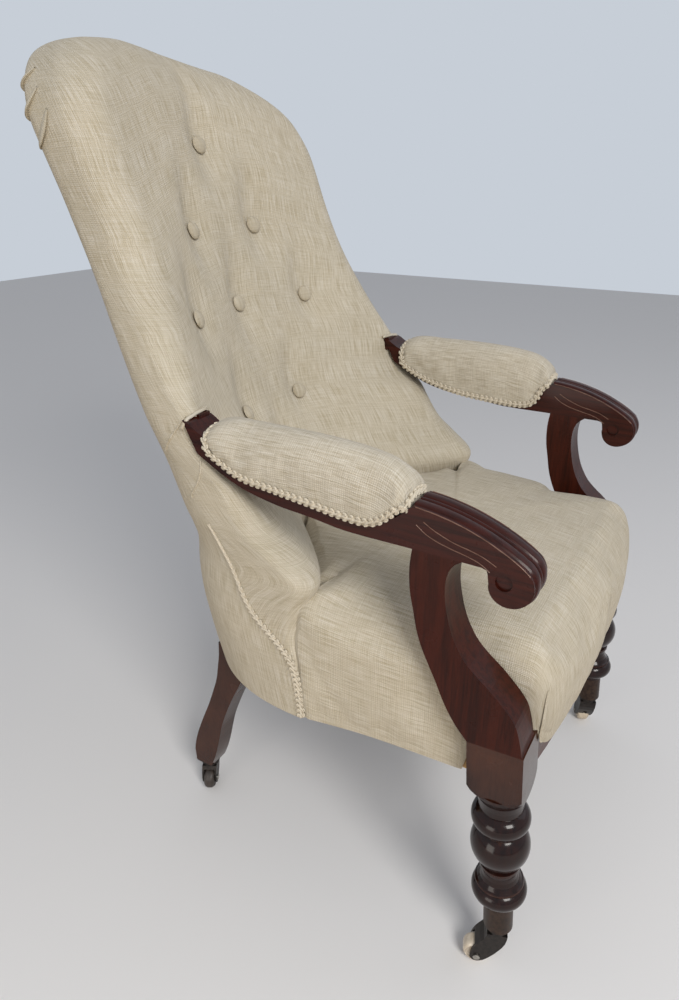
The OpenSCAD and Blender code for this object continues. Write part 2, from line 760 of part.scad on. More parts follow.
module front_glue_blocks() {
    x1 = side_rail_x - rail_t;
    y0 = block_y + block_d / 2;
    color(beech)
        for (s = [-1, 1]) mirror_if(s)
            translate([0, 0, rail_z0 + 8])
                linear_extrude(height = rail_top - rail_z0 - 12)
                    polygon([[x1, y0 + 2], [x1, y0 + glue_block], [x1 - glue_block, y0 + 2]]);
}

// The front legs: a square block over a turned leg, in one piece
function cup_y(z) = block_y - (block_top_z - z) * tan(leg_lean);
spigot_r = neck_r - 2.2;
cup_floor = 75;
ring_z = 261;
ball_z = 218;
foot_ring_z = 141;
dowel_r = 5;
dowel_l = 34;
module leg_dowels(grow = 0) {
    leg_frame()
        for (y = [-16, 14])
            translate([-5, y, -dowel_l / 2 - grow])
                cylinder(h = dowel_l + 2 * grow, r = dowel_r + grow, $fn = 24);
}
arm_dowel_y = -234;
module arm_post_dowels(grow = 0) {
    for (y = [arm_dowel_y - 8, arm_dowel_y + 8])
        translate([arm_x, y + front_shift, arm_under_z - 18 - grow])
            cylinder(h = 36 + 2 * grow, r = dowel_r - 1 + grow, $fn = 24);
}
module arm_dowels() {
    color(beech)
        for (s = [-1, 1]) mirror_if(s) {
            leg_dowels();
            arm_post_dowels();
        }
}
module turned_leg() {
    translate([0, 0, -block_top_z])
        rotate_extrude($fn = 96) {
            polygon([
                [0, 84], [spigot_r - 1, 84], [spigot_r, 86], [spigot_r, 118.2], [19.4, 118.2],
                [19.6, 122], [22.5, 127], [24, 130], [24, 154], [30, 154], [30.6, 155.5], [30, 157],
                [27.5, 158.5], [24.4, 163], [22.8, 169], [22.4, 175], [23.2, 180.5], [25.2, 182],
                [25.2, 185.5], [22, 187], [22, 240], [25.5, 244], [28.6, 245], [29, 246.6], [28.6, 248.2],
                [26, 249], [24, 256], [24, 272], [27, 278], [27.4, 286], [28.6, 295], [31.6, 303],
                [32, 308], [0, 308]
            ]);
            intersection() {
                union() {
                    translate([ring_r - 17, ring_z]) circle(r = 17, $fn = 72);
                    translate([0, ball_z]) circle(r = ball_r, $fn = 96);
                    translate([foot_ring_r - 15, foot_ring_z]) circle(r = 15, $fn = 72);
                }
                translate([0, 60]) square([60, 260]);
            }
        }
}
module front_leg(s) {
    color(mahogany)
        mirror_if(s)
            difference() {
                leg_frame()
                    union() {
                        intersection() {
                            translate([-block_w / 2, -block_d / 2, -block_l])
                                cube([block_w, block_d, block_l]);
                            rotate_extrude($fn = 96)
                                polygon([
                                    [0, -block_l], [31.5, -block_l], [36.5, -block_l + 3], [41, -block_l + 8],
                                    [44, -block_l + 14], [46, -block_l + 22], [46, 0], [0, 0]
                                ]);
                        }
                        turned_leg();
                    }
                side_tenon(0.1);
                front_tenon(0.1);
                leg_dowels(0.1);
            }
}

// The swept rear legs
rear_leg_rear = [
    [48, 194], [57, 195], [74, 197], [104, 191], [139, 179], [175, 165], [202, 156], [229, 148],
    [259, 144], [283, 142], [400, 147]
];
rear_leg_front = [
    [48, 164], [71, 155], [97, 148], [122, 143], [149, 137], [181, 126], [208, 115], [234, 103],
    [262, 92], [300, 84]
];
leg_foot_z = 53;
module rear_leg_solid() {
    zs = [for (i = [0 : 32]) mix(48, 301, i / 32)];
    top = rail_top - 3;
    difference() {
        translate([leg_top_x, 0, 300])
            rotate([0, -rear_splay, 0])
                translate([-rear_leg_t / 2, 0, -300])
                    rotate([90, 0, 90])
                        linear_extrude(height = rear_leg_t)
                            polygon(concat(
                                [for (z = zs) [through(rear_leg_front, z), z]],
                                [[106, 301], [106, top], [through(rear_leg_rear, top), top]],
                                [for (z = backward(zs)) [through(rear_leg_rear, z), z]]
                            ));
        slab(0, 400, 0, 400, 0, leg_foot_z);
        translate([0, 0, 301])
            linear_extrude(height = 120)
                difference() {
                    translate([0, 60]) square([400, 300]);
                    polygon(foot_plan(ring_in));
                }
    }
}
foot_x = leg_top_x + 247 * tan(rear_splay);
foot_y = 179;
module rear_leg(s) {
    color(mahogany)
        mirror_if(s)
            difference() {
                rear_leg_solid();
                translate([foot_x, foot_y, leg_foot_z - 1]) cylinder(h = 13, r = pin_r + 0.05, $fn = 32);
            }
}

// The back's frame
upright_in = 20.4;
upright_t = 32;
upright_d = 30;
padding_t = 36;
upright_top = up(1012);
module upright_solid() {
    zs = [for (i = [0 : 40]) mix(rail_top, upright_top, i / 40)];
    intersection() {
        translate([150, 0, 0])
            rotate([90, 0, 90])
                linear_extrude(height = 140)
                    polygon(concat(
                        [for (z = zs) [through(upright_knots, z), z]],
                        [for (z = backward(zs)) [through(upright_knots, z) + upright_d, z]]
                    ));
        translate([0, 400, 0])
            rotate([90, 0, 0])
                linear_extrude(height = 400)
                    polygon(concat(
                        [for (z = zs) [half_w(z) - upright_in - upright_t, z]],
                        [for (z = backward(zs)) [half_w(z) - upright_in, z]]
                    ));
    }
}
module back_upright(s) {
    color(beech)
        mirror_if(s)
            difference() {
                upright_solid();
                crest_solid(0);
                screw_shank(0.1);
            }
}
crest_h = 58;
crest_t = 28;
crest_low = up(984);
crest_rake = 17;
module crest_solid(grow) {
    w = half_w(crest_low) - upright_in - 9;
    arch = 24;
    translate([0, hollow_y(crest_low) + padding_t + 6, crest_low])
        rotate([-crest_rake, 0, 0])
            rotate([90, 0, 0])
                translate([0, 0, -crest_t])
                    linear_extrude(height = crest_t)
                        polygon(concat(
                            [for (a = [0 : 5 : 90]) [w - 60 + 60 * cos(a), crest_h - 60 + 60 * sin(a)]],
                            [for (a = [90 : 5 : 180]) [-w + 60 + 60 * cos(a), crest_h - 60 + 60 * sin(a)]],
                            [for (i = [0 : 12]) let (t = i / 12) [mix(-w, w, t), arch * sin(180 * t) - arch]]
                        ));
}
module crest_rail() {
    color(beech) crest_solid(0);
}
module lower_back_rail() {
    color(beech)
        translate([0, 0, 446])
            linear_extrude(height = 34)
                difference() {
                    polygon(low_rail_plan(9));
                    polygon(low_rail_plan(39));
                    translate([-400, -200]) square([800, 277.5]);
                }
}
function low_rail_plan(d) = concat(
    [[half_w(446) - d, -100]],
    [for (f = [0 : 5 : 90]) let (p = rear_point(446, f, d)) [p[0], p[1]]],
    [for (f = [85 : -5 : 0]) let (p = rear_point(446, f, d)) [-p[0], p[1]]],
    [[d - half_w(446), -100]]
);

// The arm posts and the arms

post_front_knots = [
    [371, -351], [390, -350], [408, -346], [425, -340], [437, -331], [449, -319], [461, -306],
    [471, -293], [485, -278], [500, -268], [512, -262], [530, -256], [557, -250.5], [580, -250.5],
    [596, -256], [606, -268]
];
module arm_post(s) {
    zs = [for (i = [0 : 40]) mix(388, arm_under_z, i / 40)];
    y0 = block_y + block_d / 2;
    color(mahogany)
        mirror_if(s)
            difference() {
                translate([arm_in_x, 0, 0])
                    rotate([90, 0, 90])
                        linear_extrude(height = arm_t)
                            polygon(concat(
                                [[y0 - 0.5, joint_height(y0 - 0.5)]],
                                [for (z = zs) [post_rear_y(z), z]],
                                [for (z = backward(zs)) [through(post_front_knots, z) + front_shift, z]],
                                [[block_y - 31, joint_height(block_y - 31)]]
                            ));
                leg_dowels(0.1);
                arm_post_dowels(0.1);
            }
}
function joint_height(y) = block_top_z - (y - block_y) * tan(leg_lean);

arm_knots = [
    [-292, 0], [-211, 0], [-130, 0], [-86, 5], [-39, 9], [9, 19], [40, 32], [70, 48], [100, 67]
];
function arm_low_z(y) = arm_under_z + through(arm_knots, y);
scroll_y = -315;
scroll_z = arm_under_z - 12;
scroll_tilt = 33;
bare_y = -209;
tail_z = scroll_z - scroll_r + scroll_tail_r;
curve_y = scroll_y + (arm_curve_r - scroll_r) * sin(scroll_tilt);
curve_z = scroll_z - (arm_curve_r - scroll_r) * cos(scroll_tilt);
curve_start = asin((curve_y - bare_y) / arm_curve_r);
function on_arc(cy, cz, r, tilt) = [cy - r * sin(tilt), cz + r * cos(tilt)];
ridge_z = curve_z + arm_curve_r * cos(curve_start);
// The top is eased down a little where the pad ends
function arm_high_z(y) = arm_low_z(y) + arm_core_t - 2.6 * min(1, max(0, (y - 46) / 24));
arm_end_top = [93, arm_high_z(89)];
arm_end_low = [74, arm_low_z(74)];
function arm_side(d) =
    let (ys = [for (i = [0 : 30]) mix(72, -286, i / 30)])
    concat(
        [[arm_end_low[0], arm_end_low[1]]],
        [for (y = ys) [y, arm_low_z(y)]],
        [[-291.5, arm_under_z - 1.5], [-292.8, arm_under_z - 5]],
        [for (t = [266 : -8 : 186]) on_arc(scroll_y, tail_z, scroll_tail_r - d, t)],
        [for (t = [177 : -7 : 40]) on_arc(scroll_y, scroll_z, scroll_r - d, t)],
        [for (i = [0 : 8]) on_arc(curve_y, curve_z, arm_curve_r - d, mix(scroll_tilt, curve_start, i / 8))],
        [[bare_y + 18.5, arm_low_z(bare_y) + arm_core_t]],
        [for (y = [-180 : 12 : 84]) [y, arm_high_z(y)]],
        [[arm_end_top[0], arm_end_top[1]]]
    );
// Each turn starts inside the one before it, a hair lower, and lies a hair inside the arm's sides
turn_step = 0.05;
// The reeded section: a plain margin, a wide reed, a slim bead, a wide reed, a margin
function crown(x0, x1, h) = [
    for (i = [1 : 7]) let (t = i / 8) [h * sqrt(max(0, 1 - (2 * t - 1) ^ 2)), mix(x0, x1, t)]
];
function reeds(r) =
    let (
        a = turn_step - arm_t / 2,
        b = reed_margin - arm_t / 2,
        c = -bead_w / 2,
        base = [for (p = concat(
            [[0, a], [0, b]], crown(b, c - 0.4, reed_h), [[0, c - 0.4], [0, c]],
            crown(c, -c, 0.75 * reed_h), [[0, -c], [0, 0.4 - c]],
            crown(0.4 - c, -b, reed_h), [[0, -b], [0, -a]]
        )) [r - reed_h + p[0], p[1]]]
    )
    concat([[r - reed_h - 6, a]], base, [[r - reed_h - 6, -a]]);
module reeded_arc(cy, cz, r, from, to) {
    translate([arm_x, cy, cz])
        rotate([0, 90, 0])
            rotate([0, 0, 180 + from])
                rotate_extrude(angle = to - from, $fn = 96)
                    polygon(reeds(r));
}
arm_tenon = [arm_in_x + 2, arm_in_x + 22];
tenon_z0 = arm_low_z(93) + 6;
tenon_z1 = arm_low_z(93) + 27;
upright_face = through(upright_knots, (tenon_z0 + tenon_z1) / 2) - 7;
module arm(s) {
    color(mahogany)
        mirror_if(s)
            difference() {
                union() {
                    translate([arm_in_x, front_shift, 0])
                        rotate([90, 0, 90]) linear_extrude(height = arm_t) polygon(arm_side(reed_h + 0.6));
                    translate([0, front_shift, 0]) {
                        reeded_arc(curve_y, curve_z, arm_curve_r, curve_start, scroll_tilt);
                        reeded_arc(scroll_y, scroll_z, scroll_r - turn_step, scroll_tilt - 8, 180);
                        reeded_arc(scroll_y, tail_z, scroll_tail_r - 2 * turn_step, 172, 268);
                    }
                    slab(arm_tenon[0], arm_tenon[1], 86, upright_face, tenon_z0, tenon_z1);
                }
                for (x = [arm_in_x - 1, arm_span / 2 - eye_depth])
                    translate([x, scroll_y + 5 + front_shift, scroll_z + 1])
                        rotate([0, 90, 0]) cylinder(h = eye_depth + 1, r = 9, $fn = 48);
                arm_post_dowels(0.1);
                screw_shank(0.05);
            }
}
// The room for an arm in the cover and the stuffing
module arm_room(s) {
    g = soft_gap + 0.2;
    mirror_if(s) {
        translate([arm_in_x - g, 0, 0])
            rotate([90, 0, 90])
                linear_extrude(height = 80)
                    polygon([
                        [0, arm_low_z(0) - 4], [arm_end_low[0] + g, arm_end_low[1] - g - 1],
                        [arm_end_top[0] + g, arm_end_top[1] + g],
                        [60, arm_end_top[1] + g], [0, arm_end_top[1] - 10]
                    ]);
        slab(arm_tenon[0] - g, arm_tenon[1] + g, 40, 150, tenon_z0 - g, tenon_z1 + g);
    }
}
screw_r = 2.5;
screw_x = arm_in_x + 12;
screw_z = (tenon_z0 + tenon_z1) / 2;
screw_y = through(upright_knots, screw_z) + upright_d - 1;
module screw_shank(grow) {
    translate([screw_x, upright_face - 24 - grow, screw_z])
        rotate([-90, 0, 0]) cylinder(h = screw_y - upright_face + 34, r = screw_r + grow, $fn = 24);
}
module arm_screws() {
    color(iron)
        for (s = [-1, 1]) mirror_if(s) {
            translate([screw_x, upright_face - 24, screw_z])
                rotate([-90, 0, 0]) cylinder(h = screw_y + 9 - upright_face + 24, r = screw_r, $fn = 24);
            translate([screw_x, screw_y + 7, screw_z])
                rotate([-90, 0, 0]) cylinder(h = 3, r = 5, $fn = 32);
        }
}

// The arm pads
pad_low_out = [
    [-212, 49], [-202, 42], [-188, 27], [-168, 15], [-130, 15], [-86, 20], [-32, 26], [9, 31],
    [45, 48], [80, 68]
];
pad_low_in = [
    [-212, 49], [-202, 40], [-190, 12], [-165, 3], [-110, 4], [-56, 8], [1, 20], [45, 38], [80, 62]
];
pad_top_knots = [
    [-212, -38], [-206, -28], [-200, -21], [-188, -12], [-171, -5], [-147, -0.5], [-111, 2],
    [-73, 3], [9, 3], [40, 4], [56, 3], [66, -2], [76, -10]
];
pad_stations = [
    pad_front_y + 2.6, pad_front_y + 8, pad_front_y + 18, -172, -135, -80, -20, 25, pad_rear_y - 13,
    pad_rear_y
];
pad_section = [[24.9, 0], [27.5, 0.18], [28, 0.4], [25.8, 0.64], [19.5, 0.86], [10, 0.975], [0, 1]];
pad_sides = len(pad_section) - 1;
function pad_top(y) = pad_top_z + through(pad_top_knots, y);
function pad_end(y) = y < 0
    ? min(1, 0.82 + 0.18 * (y - pad_front_y) / 12)
    : min(1, 0.95 + 0.05 * (pad_rear_y + 4 - y) / 12);
// A point of the pad: c counts round the section from the inner side, d is drawn in
function pad_point(y, c, d) =
    let (
        side = c < pad_sides ? -1 : 1,
        e = pad_section[pad_sides - abs(pad_sides - c)],
        low = arm_under_z + through(side > 0 ? pad_low_out : pad_low_in, y),
        top = pad_top(y),
        w = e[1] < 0.3 ? e[0] : (e[0] + pad_swell - 4) * pad_end(y),
        z = mix(low, top, e[1]) - d * e[1]
    )
    [
        arm_x + side * (c == pad_sides ? 0 : max(w - d, e[1] < 0.3 ? arm_t / 2 + soft_gap : 0)), y,
        d > 0 && e[1] > 0.6 ? max(z, arm_high_z(y) + soft_gap) : z
    ];
pad_ys = len(pad_stations) - 1;
function pad_row(j, d) =
    let (y = j == 0 ? pad_stations[0] + d : j == pad_ys ? pad_stations[j] - d : pad_stations[j])
    [for (c = [0 : 2 * pad_sides]) pad_point(y, c, d)];
module pad_cover(s) {
    color(linen)
        mirror_if(s)
            shell_between(
                [for (j = [0 : pad_ys]) pad_row(j, 0)], [for (j = [0 : pad_ys]) pad_row(j, cover_t)]
            );
}

pad_core_ys = [-187, -172, -135, -80, -20, 20, 42];
pad_in = stuffing_in + 1;
module pad_stuffing(s) {
    g = soft_gap;
    pad_cs = [1 : 2 * pad_sides - 1];
    function core_point(y, c) =
        let (p = pad_point(y, c, pad_in), q = p[0] - arm_x, top = arm_high_z(y) + g)
        [arm_x + (abs(q) > arm_t / 2 + g ? sign(q) * (arm_t / 2 + g) : q), y, min(p[2] - 0.6, top)];
    color(horsehair)
        mirror_if(s)
            shell_between(
                [for (y = pad_core_ys) [for (c = pad_cs) pad_point(y, c, pad_in)]],
                [for (y = pad_core_ys) [for (c = pad_cs) core_point(y, c)]]
            );
}

// The braid round a pad follows the border of its cover
module pad_braid(s) {
    n = pad_ys;
    last = 2 * pad_sides;
    ends = concat(
        [for (j = [1 : n - 1]) [j, last]], [for (c = [last - 1 : -1 : 1]) [n, c]],
        [for (j = [n - 1 : -1 : 1]) [j, 0]], [for (c = [1 : last - 1]) [0, c]]
    );
    function at(j, c, d) = pad_point(pad_stations[j], c, -d) + [0, j == 0 ? -d : j == n ? d : 0, 0];
    function upper(j, c, d) =
        let (
            end = j == 0 || j == n,
            o = at(j, c, d),
            r = at(end ? min(n - 1, max(1, j)) : j, end ? c : min(last - 1, max(1, c)), d) - o
        )
        o + r * min(1, braid_w / max(1, norm(r)));
    a = soft_gap + 0.5;
    b = a + braid_t;
    color(linen)
        mirror_if(s)
            band([for (e = ends) [at(e[0], e[1], a), upper(e[0], e[1], a), upper(e[0], e[1], b), at(e[0], e[1], b)]],
                true);
}

// Springs, webbing and cloth

spring_spots = [[-85, -250], [85, -250], [0, -182], [-85, -114], [85, -114]];
webbing_z = rail_z0 - 1.6;
spring_low = rail_z0 + spring_wire / 2 + 0.4;
spring_high = platform_z - hessian_t - spring_wire / 2 - 0.5;
coil_steps = 14;
// The wire's radius from the spring's axis at share t of its height
function coil_r(t) = spring_waist_r + (spring_r - spring_waist_r) * (2 * t - 1) ^ 2;
module spring() {
    n = spring_turns * coil_steps;
    rows = [
        for (i = [0 : n])
            let (t = i / n, a = 360 * i / coil_steps, r = coil_r(t) - spring_wire / 2)
            [
                for (k = [0 : 5])
                    let (b = 60 * k, q = r + spring_wire / 2 * cos(b))
                    [q * cos(a), q * sin(a), mix(spring_low, spring_high, t) + spring_wire / 2 * sin(b)]
            ]
    ];
    band(rows);
}
// The least gap between neighbouring turns, by the rise of one turn
echo(spring_turn_gap = (spring_high - spring_low) / spring_turns - spring_wire);
module seat_springs() {
    color(iron) for (p = spring_spots) translate([p[0], p[1], 0]) spring();
}
strip_w = 50;
module seat_webbing() {
    color(jute)
        translate([0, 0, webbing_z])
            linear_extrude(height = 1.2)
                union() {
                    for (x = [-85, 0, 85])
                        translate([x - strip_w / 2, rail_front_y(225) + rail_t - 12]) square([strip_w, 470]);
                    for (y = [-250, -182, -114])
                        translate([-side_rail_x + 6, y - strip_w / 2])
                            square([2 * side_rail_x - 12, strip_w]);
                }
}
module bottom_cloth() {
    x1 = block_x - block_w / 2 - 2;
    x2 = side_rail_x - 8;
    y0 = rail_front_y(225) + rail_t - 13;
    y1 = block_y + block_d / 2 + 6;
    color("#2b2624")
        translate([0, 0, webbing_z - 1.4])
            linear_extrude(height = 1)
                polygon([
                    [-x1, y0], [x1, y0], [x1, y1], [x2, y1], [x2, 40], [235, 76], [-235, 76], [-x2, 40],
                    [-x2, y1], [-x1, y1]
                ]);
}
// Each strip of the back's webbing: its place across the back and how far it lies forward
back_strips = [[-120, 0], [-40, 1.5], [40, 1.5], [120, 0]];
module back_webbing() {
    zs = [for (i = [0 : 12]) mix(480.3, crest_low - 26, i / 12)];
    color(jute)
        for (p = back_strips)
            translate([p[0] - 22, -p[1], 0])
                rotate([90, 0, 90])
                    linear_extrude(height = 44)
                        polygon(concat(
                            [for (z = zs) [hollow_y(z) + padding_t + stuffing_in + 2 * soft_gap, z]],
                            [for (z = backward(zs)) [hollow_y(z) + padding_t + stuffing_in + 2 * soft_gap + 1.4, z]]
                        ));
}

// The castors, each made about its upright pin with its trail along +X

castor_y = cup_y(cup_floor);
front_pin = [block_x, castor_y];
rear_pin = [foot_x, foot_y];
slot_gap = 0.5;
cheek_t = 3.5;
horn_top = cup_floor - 0.2;
rear_plate_z = leg_foot_z - 3;
module at_castor(i) {
    p = i < 2 ? front_pin : rear_pin;
    translate([i % 2 == 0 ? -p[0] : p[0], p[1], 0]) rotate([0, 0, castor_turns[i]]) children();
}
module castor_cup(s) {
    color(iron)
        mirror_if(s)
            difference() {
                leg_frame()
                    translate([0, 0, cup_floor - 12 - block_top_z])
                        cylinder(h = 118 - cup_floor + 12, r = neck_r, $fn = 64);
                leg_frame()
                    translate([0, 0, 83.5 - block_top_z]) cylinder(h = 60, r = spigot_r + 0.1, $fn = 64);
                slab(200, 320, castor_y - 60, castor_y + 60, 0, cup_floor);
                translate([front_pin[0], front_pin[1], 0]) {
                    cylinder(h = 100, r = pin_r + 0.05, $fn = 32);
                    translate([0, 0, 79]) cylinder(h = 6, r = pin_r + 3, $fn = 32);
                }
            }
}
module castor_plate(s) {
    color(iron)
        mirror_if(s)
            translate([rear_pin[0], rear_pin[1], rear_plate_z])
                difference() {
                    translate([-rear_leg_t / 2 + 1, -15, 0])
                        cube([rear_leg_t - 2, 30, leg_foot_z - rear_plate_z]);
                    translate([0, 0, -1]) cylinder(h = 10, r = pin_r + 0.05, $fn = 32);
                }
}
module castor_pins() {
    color(iron)
        for (s = [-1, 1]) mirror_if(s) {
            translate([front_pin[0], front_pin[1], 0]) {
                translate([0, 0, horn_top - 12]) cylinder(h = 79.2 - horn_top + 12, r = pin_r, $fn = 32);
                translate([0, 0, 79.1]) cylinder(h = 3, r = pin_r + 2.5, $fn = 32);
                translate([0, 0, horn_top - 12.2]) cylinder(h = 2.6, r = pin_r + 2.3, $fn = 32);
            }
            translate([rear_pin[0], rear_pin[1], 0]) {
                translate([0, 0, rear_plate_z - 10]) cylinder(h = 24, r = pin_r, $fn = 32);
                translate([0, 0, rear_plate_z - 10.8]) cylinder(h = 2.2, r = pin_r + 2, $fn = 32);
            }
        }
}
// A horn or fork: an outline in the plane of the trail, with the wheel's slot cut out
module fork(outline, trail, wheel_w, top, disc_h, disc_r, head_room) {
    w = wheel_w + 2 * slot_gap + 2 * cheek_t;
    z = wheel_d / 2;
    difference() {
        union() {
            translate([0, 0, top - disc_h]) cylinder(h = disc_h, r = disc_r, $fn = 48);
            translate([0, w / 2, 0])
                rotate([90, 0, 0]) linear_extrude(height = w) polygon(outline);
            translate([trail, w / 2, z]) rotate([90, 0, 0]) cylinder(h = w, r = 9, $fn = 40);
        }
        translate([trail, wheel_w / 2 + slot_gap, z])
            rotate([90, 0, 0])
                cylinder(h = wheel_w + 2 * slot_gap, r = z + 2.5, $fn = 64);
        translate([trail, w, z]) rotate([90, 0, 0]) cylinder(h = 2 * w, r = axle_r + 0.02, $fn = 32);
        cylinder(h = top + 1, r = pin_r + running_gap, $fn = 32);
        translate([0, 0, top - disc_h - head_room]) cylinder(h = head_room, r = pin_r + 3, $fn = 32);
    }
}
module front_horn(i) {
    t = front_trail;
    color(iron)
        at_castor(i)
            fork(
                [
                    [-13, horn_top - 9], [-12.5, 60], [-11, 52], [-7.5, 43], [-3, 35], [2, 27], [t - 14, 18],
                    [t - 8, 12], [t, 9], [t + 8, 14], [t + 9, 20], [t + 7, 30], [t + 3, 40], [t - 2, 48],
                    [t - 7, 55], [14, 60], [13, horn_top - 9]
                ],
                t, front_wheel_w, horn_top, 9, 15, 14
            );
}
module rear_fork(i) {
    t = rear_trail;
    top = rear_plate_z - 0.2;
    color(iron)
        at_castor(i)
            fork(
                [
                    [-14, top - 6], [-13, 38], [-9, 30], [-4, 22], [t - 8, 14], [t, 9], [t + 8, 14],
                    [t + 9, 20], [t + 8, 30], [t + 5, 38], [14, top - 6]
                ],
                t, rear_wheel_w, top, 6, 15, 6
            );
}
module wheel(i, trail, w, skin) {
    r = wheel_d / 2;
    color(skin)
        at_castor(i)
            translate([trail, 0, r])
                rotate([90, 0, 0])
                    rotate_extrude($fn = 96)
                        polygon([
                            [axle_r + running_gap, -w / 2], [7, -w / 2], [8, 1.5 - w / 2], [12.5, 1.5 - w / 2],
                            [14.5, -w / 2], [r - 3, 0.6 - w / 2], [r - 1.2, 2 - w / 2], [r - 0.3, 4 - w / 2],
                            [r, w * -0.2], [r, w * 0.2], [r - 0.3, w / 2 - 4], [r - 1.2, w / 2 - 2],
                            [r - 3, w / 2 - 0.6], [14.5, w / 2], [12.5, w / 2 - 1.5], [8, w / 2 - 1.5],
                            [7, w / 2], [axle_r + running_gap, w / 2]
                        ]);
}
module axle(i, trail, wheel_w) {
    w = wheel_w + 2 * slot_gap + 2 * cheek_t;
    color(iron)
        at_castor(i)
            translate([trail, 0, wheel_d / 2])
                rotate([90, 0, 0]) {
                    translate([0, 0, -w / 2 - 1]) cylinder(h = w + 2, r = axle_r, $fn = 32);
                    for (z = [-w / 2 - 1.8, w / 2 + 0.1])
                        translate([0, 0, z]) cylinder(h = 1.7, r = axle_r + 1.6, $fn = 32);
                }
}

front_seat_rail();
side_rail(-1);  // right_seat_rail
side_rail(1);  // left_seat_rail
back_seat_rail();
rear_corner_blocks();
front_glue_blocks();
front_leg(-1);  // right_front_leg
front_leg(1);  // left_front_leg
rear_leg(-1);  // right_rear_leg
rear_leg(1);  // left_rear_leg
back_upright(-1);  // right_back_upright
back_upright(1);  // left_back_upright
crest_rail();
lower_back_rail();
arm_post(-1);  // right_arm_post
arm_post(1);  // left_arm_post
arm(-1);  // right_arm
arm(1);  // left_arm
arm_dowels();
arm_screws();
seat_webbing();
seat_springs();
seat_hessian();
seat_stuffing();
seat_cover();
bottom_cloth();
back_webbing();
back_stuffing();
inside_back_cover();
outside_back_cover();
back_buttons();
pad_stuffing(-1);  // right_pad_stuffing
pad_stuffing(1);  // left_pad_stuffing
pad_cover(-1);  // right_pad_cover
pad_cover(1);  // left_pad_cover
pad_braid(-1);  // right_pad_braid
pad_braid(1);  // left_pad_braid
back_braid(-1);  // right_back_braid
back_braid(1);  // left_back_braid
castor_cup(-1);  // right_front_castor_cup
castor_cup(1);  // left_front_castor_cup
castor_plate(-1);  // right_rear_castor_plate
castor_plate(1);  // left_rear_castor_plate
castor_pins();
front_horn(0);  // right_front_castor_horn
front_horn(1);  // left_front_castor_horn
rear_fork(2);  // right_rear_castor_fork
rear_fork(3);  // left_rear_castor_fork
wheel(0, front_trail, front_wheel_w, "#d9cfbf");  // right_front_wheel
wheel(1, front_trail, front_wheel_w, "#d9cfbf");  // left_front_wheel
wheel(2, rear_trail, rear_wheel_w, "#3a3430");  // right_rear_wheel
wheel(3, rear_trail, rear_wheel_w, "#3a3430");  // left_rear_wheel
axle(0, front_trail, front_wheel_w);  // right_front_axle
axle(1, front_trail, front_wheel_w);  // left_front_axle
axle(2, rear_trail, rear_wheel_w);  // right_rear_axle
axle(3, rear_trail, rear_wheel_w);  // left_rear_axle
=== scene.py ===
# %% [markdown]
# An open armchair with a buttoned back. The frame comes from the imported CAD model, and this lesson
# dresses it: padded covers, braid, buttons and cloths, with each material built from nodes.

# %% Load the frame
import math
from functools import partial

import bmesh
import bpy
import numpy as np
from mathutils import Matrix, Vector
from mathutils.bvhtree import BVHTree


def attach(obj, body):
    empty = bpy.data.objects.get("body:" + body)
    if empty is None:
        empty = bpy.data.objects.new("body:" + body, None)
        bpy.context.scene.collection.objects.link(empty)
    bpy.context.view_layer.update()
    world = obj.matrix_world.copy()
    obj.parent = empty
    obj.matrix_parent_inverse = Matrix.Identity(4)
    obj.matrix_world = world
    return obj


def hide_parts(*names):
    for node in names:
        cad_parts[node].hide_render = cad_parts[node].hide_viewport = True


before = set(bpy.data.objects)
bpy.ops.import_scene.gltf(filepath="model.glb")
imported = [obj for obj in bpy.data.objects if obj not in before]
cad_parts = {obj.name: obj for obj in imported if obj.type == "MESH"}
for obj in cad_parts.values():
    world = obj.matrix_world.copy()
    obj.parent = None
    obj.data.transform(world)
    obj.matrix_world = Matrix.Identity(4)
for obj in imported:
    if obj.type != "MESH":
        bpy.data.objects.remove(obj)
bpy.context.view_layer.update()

# %% [markdown]
# The camera stands to the sitter's right, a little above the arms. It could be moved by eye until
# the chair fits, but its lens and place were solved from points that are easy to find on the frame
# and in the photograph, such as the castors, so every length can be compared.

# %% Camera
CAMERA_PLACE = (-0.87143, -0.46907, 0.95695)
CAMERA_TURN = (90 - 25.012, 0, -59.492)
LENS_MM = 25.2

turn = [math.radians(degrees) for degrees in CAMERA_TURN]
bpy.ops.object.camera_add(location=CAMERA_PLACE, rotation=turn)
camera = bpy.context.object
camera.data.sensor_width = 36
camera.data.lens = LENS_MM
camera.data.clip_start = 0.01
bpy.context.scene.camera = camera
print("camera at", CAMERA_PLACE, "with a lens of", LENS_MM, "mm")

# %% [markdown]
# Colours are written as the sRGB values that a colour picker shows, and one function turns them to
# the linear values that nodes expect. One more adds a node with its settings and links.


# %% Helpers for colours, nodes and materials
def linear(hex_colour):
    parts = [int(hex_colour[i : i + 2], 16) / 255 for i in (1, 3, 5)]
    return [c / 12.92 if c <= 0.04045 else ((c + 0.055) / 1.055) ** 2.4 for c in parts] + [1]


def plug(tree, node, inputs):
    """Sets a node's inputs to numbers, colours, other nodes' outputs, or a node's first output."""
    for socket, value in inputs.items():
        if isinstance(value, bpy.types.Node):
            value = value.outputs[0]
        if isinstance(value, bpy.types.NodeSocket):
            tree.links.new(value, node.inputs[socket])
        else:
            node.inputs[socket].default_value = value


def add_node(tree, kind, inputs=None, stops=(), **settings):
    """Adds a node with its inputs and settings; stops are a ramp's places and colours or greys."""
    made = tree.nodes.new("ShaderNode" + kind)
    for name, value in settings.items():
        setattr(made, name, value)
    plug(tree, made, inputs or {})
    if stops:
        points = made.color_ramp.elements
        while len(points) < len(stops):
            points.new(0.5)
        for point, (place, colour) in zip(points, stops):
            point.position = place
            point.color = linear(colour) if isinstance(colour, str) else (colour,) * 3 + (1,)
    return made


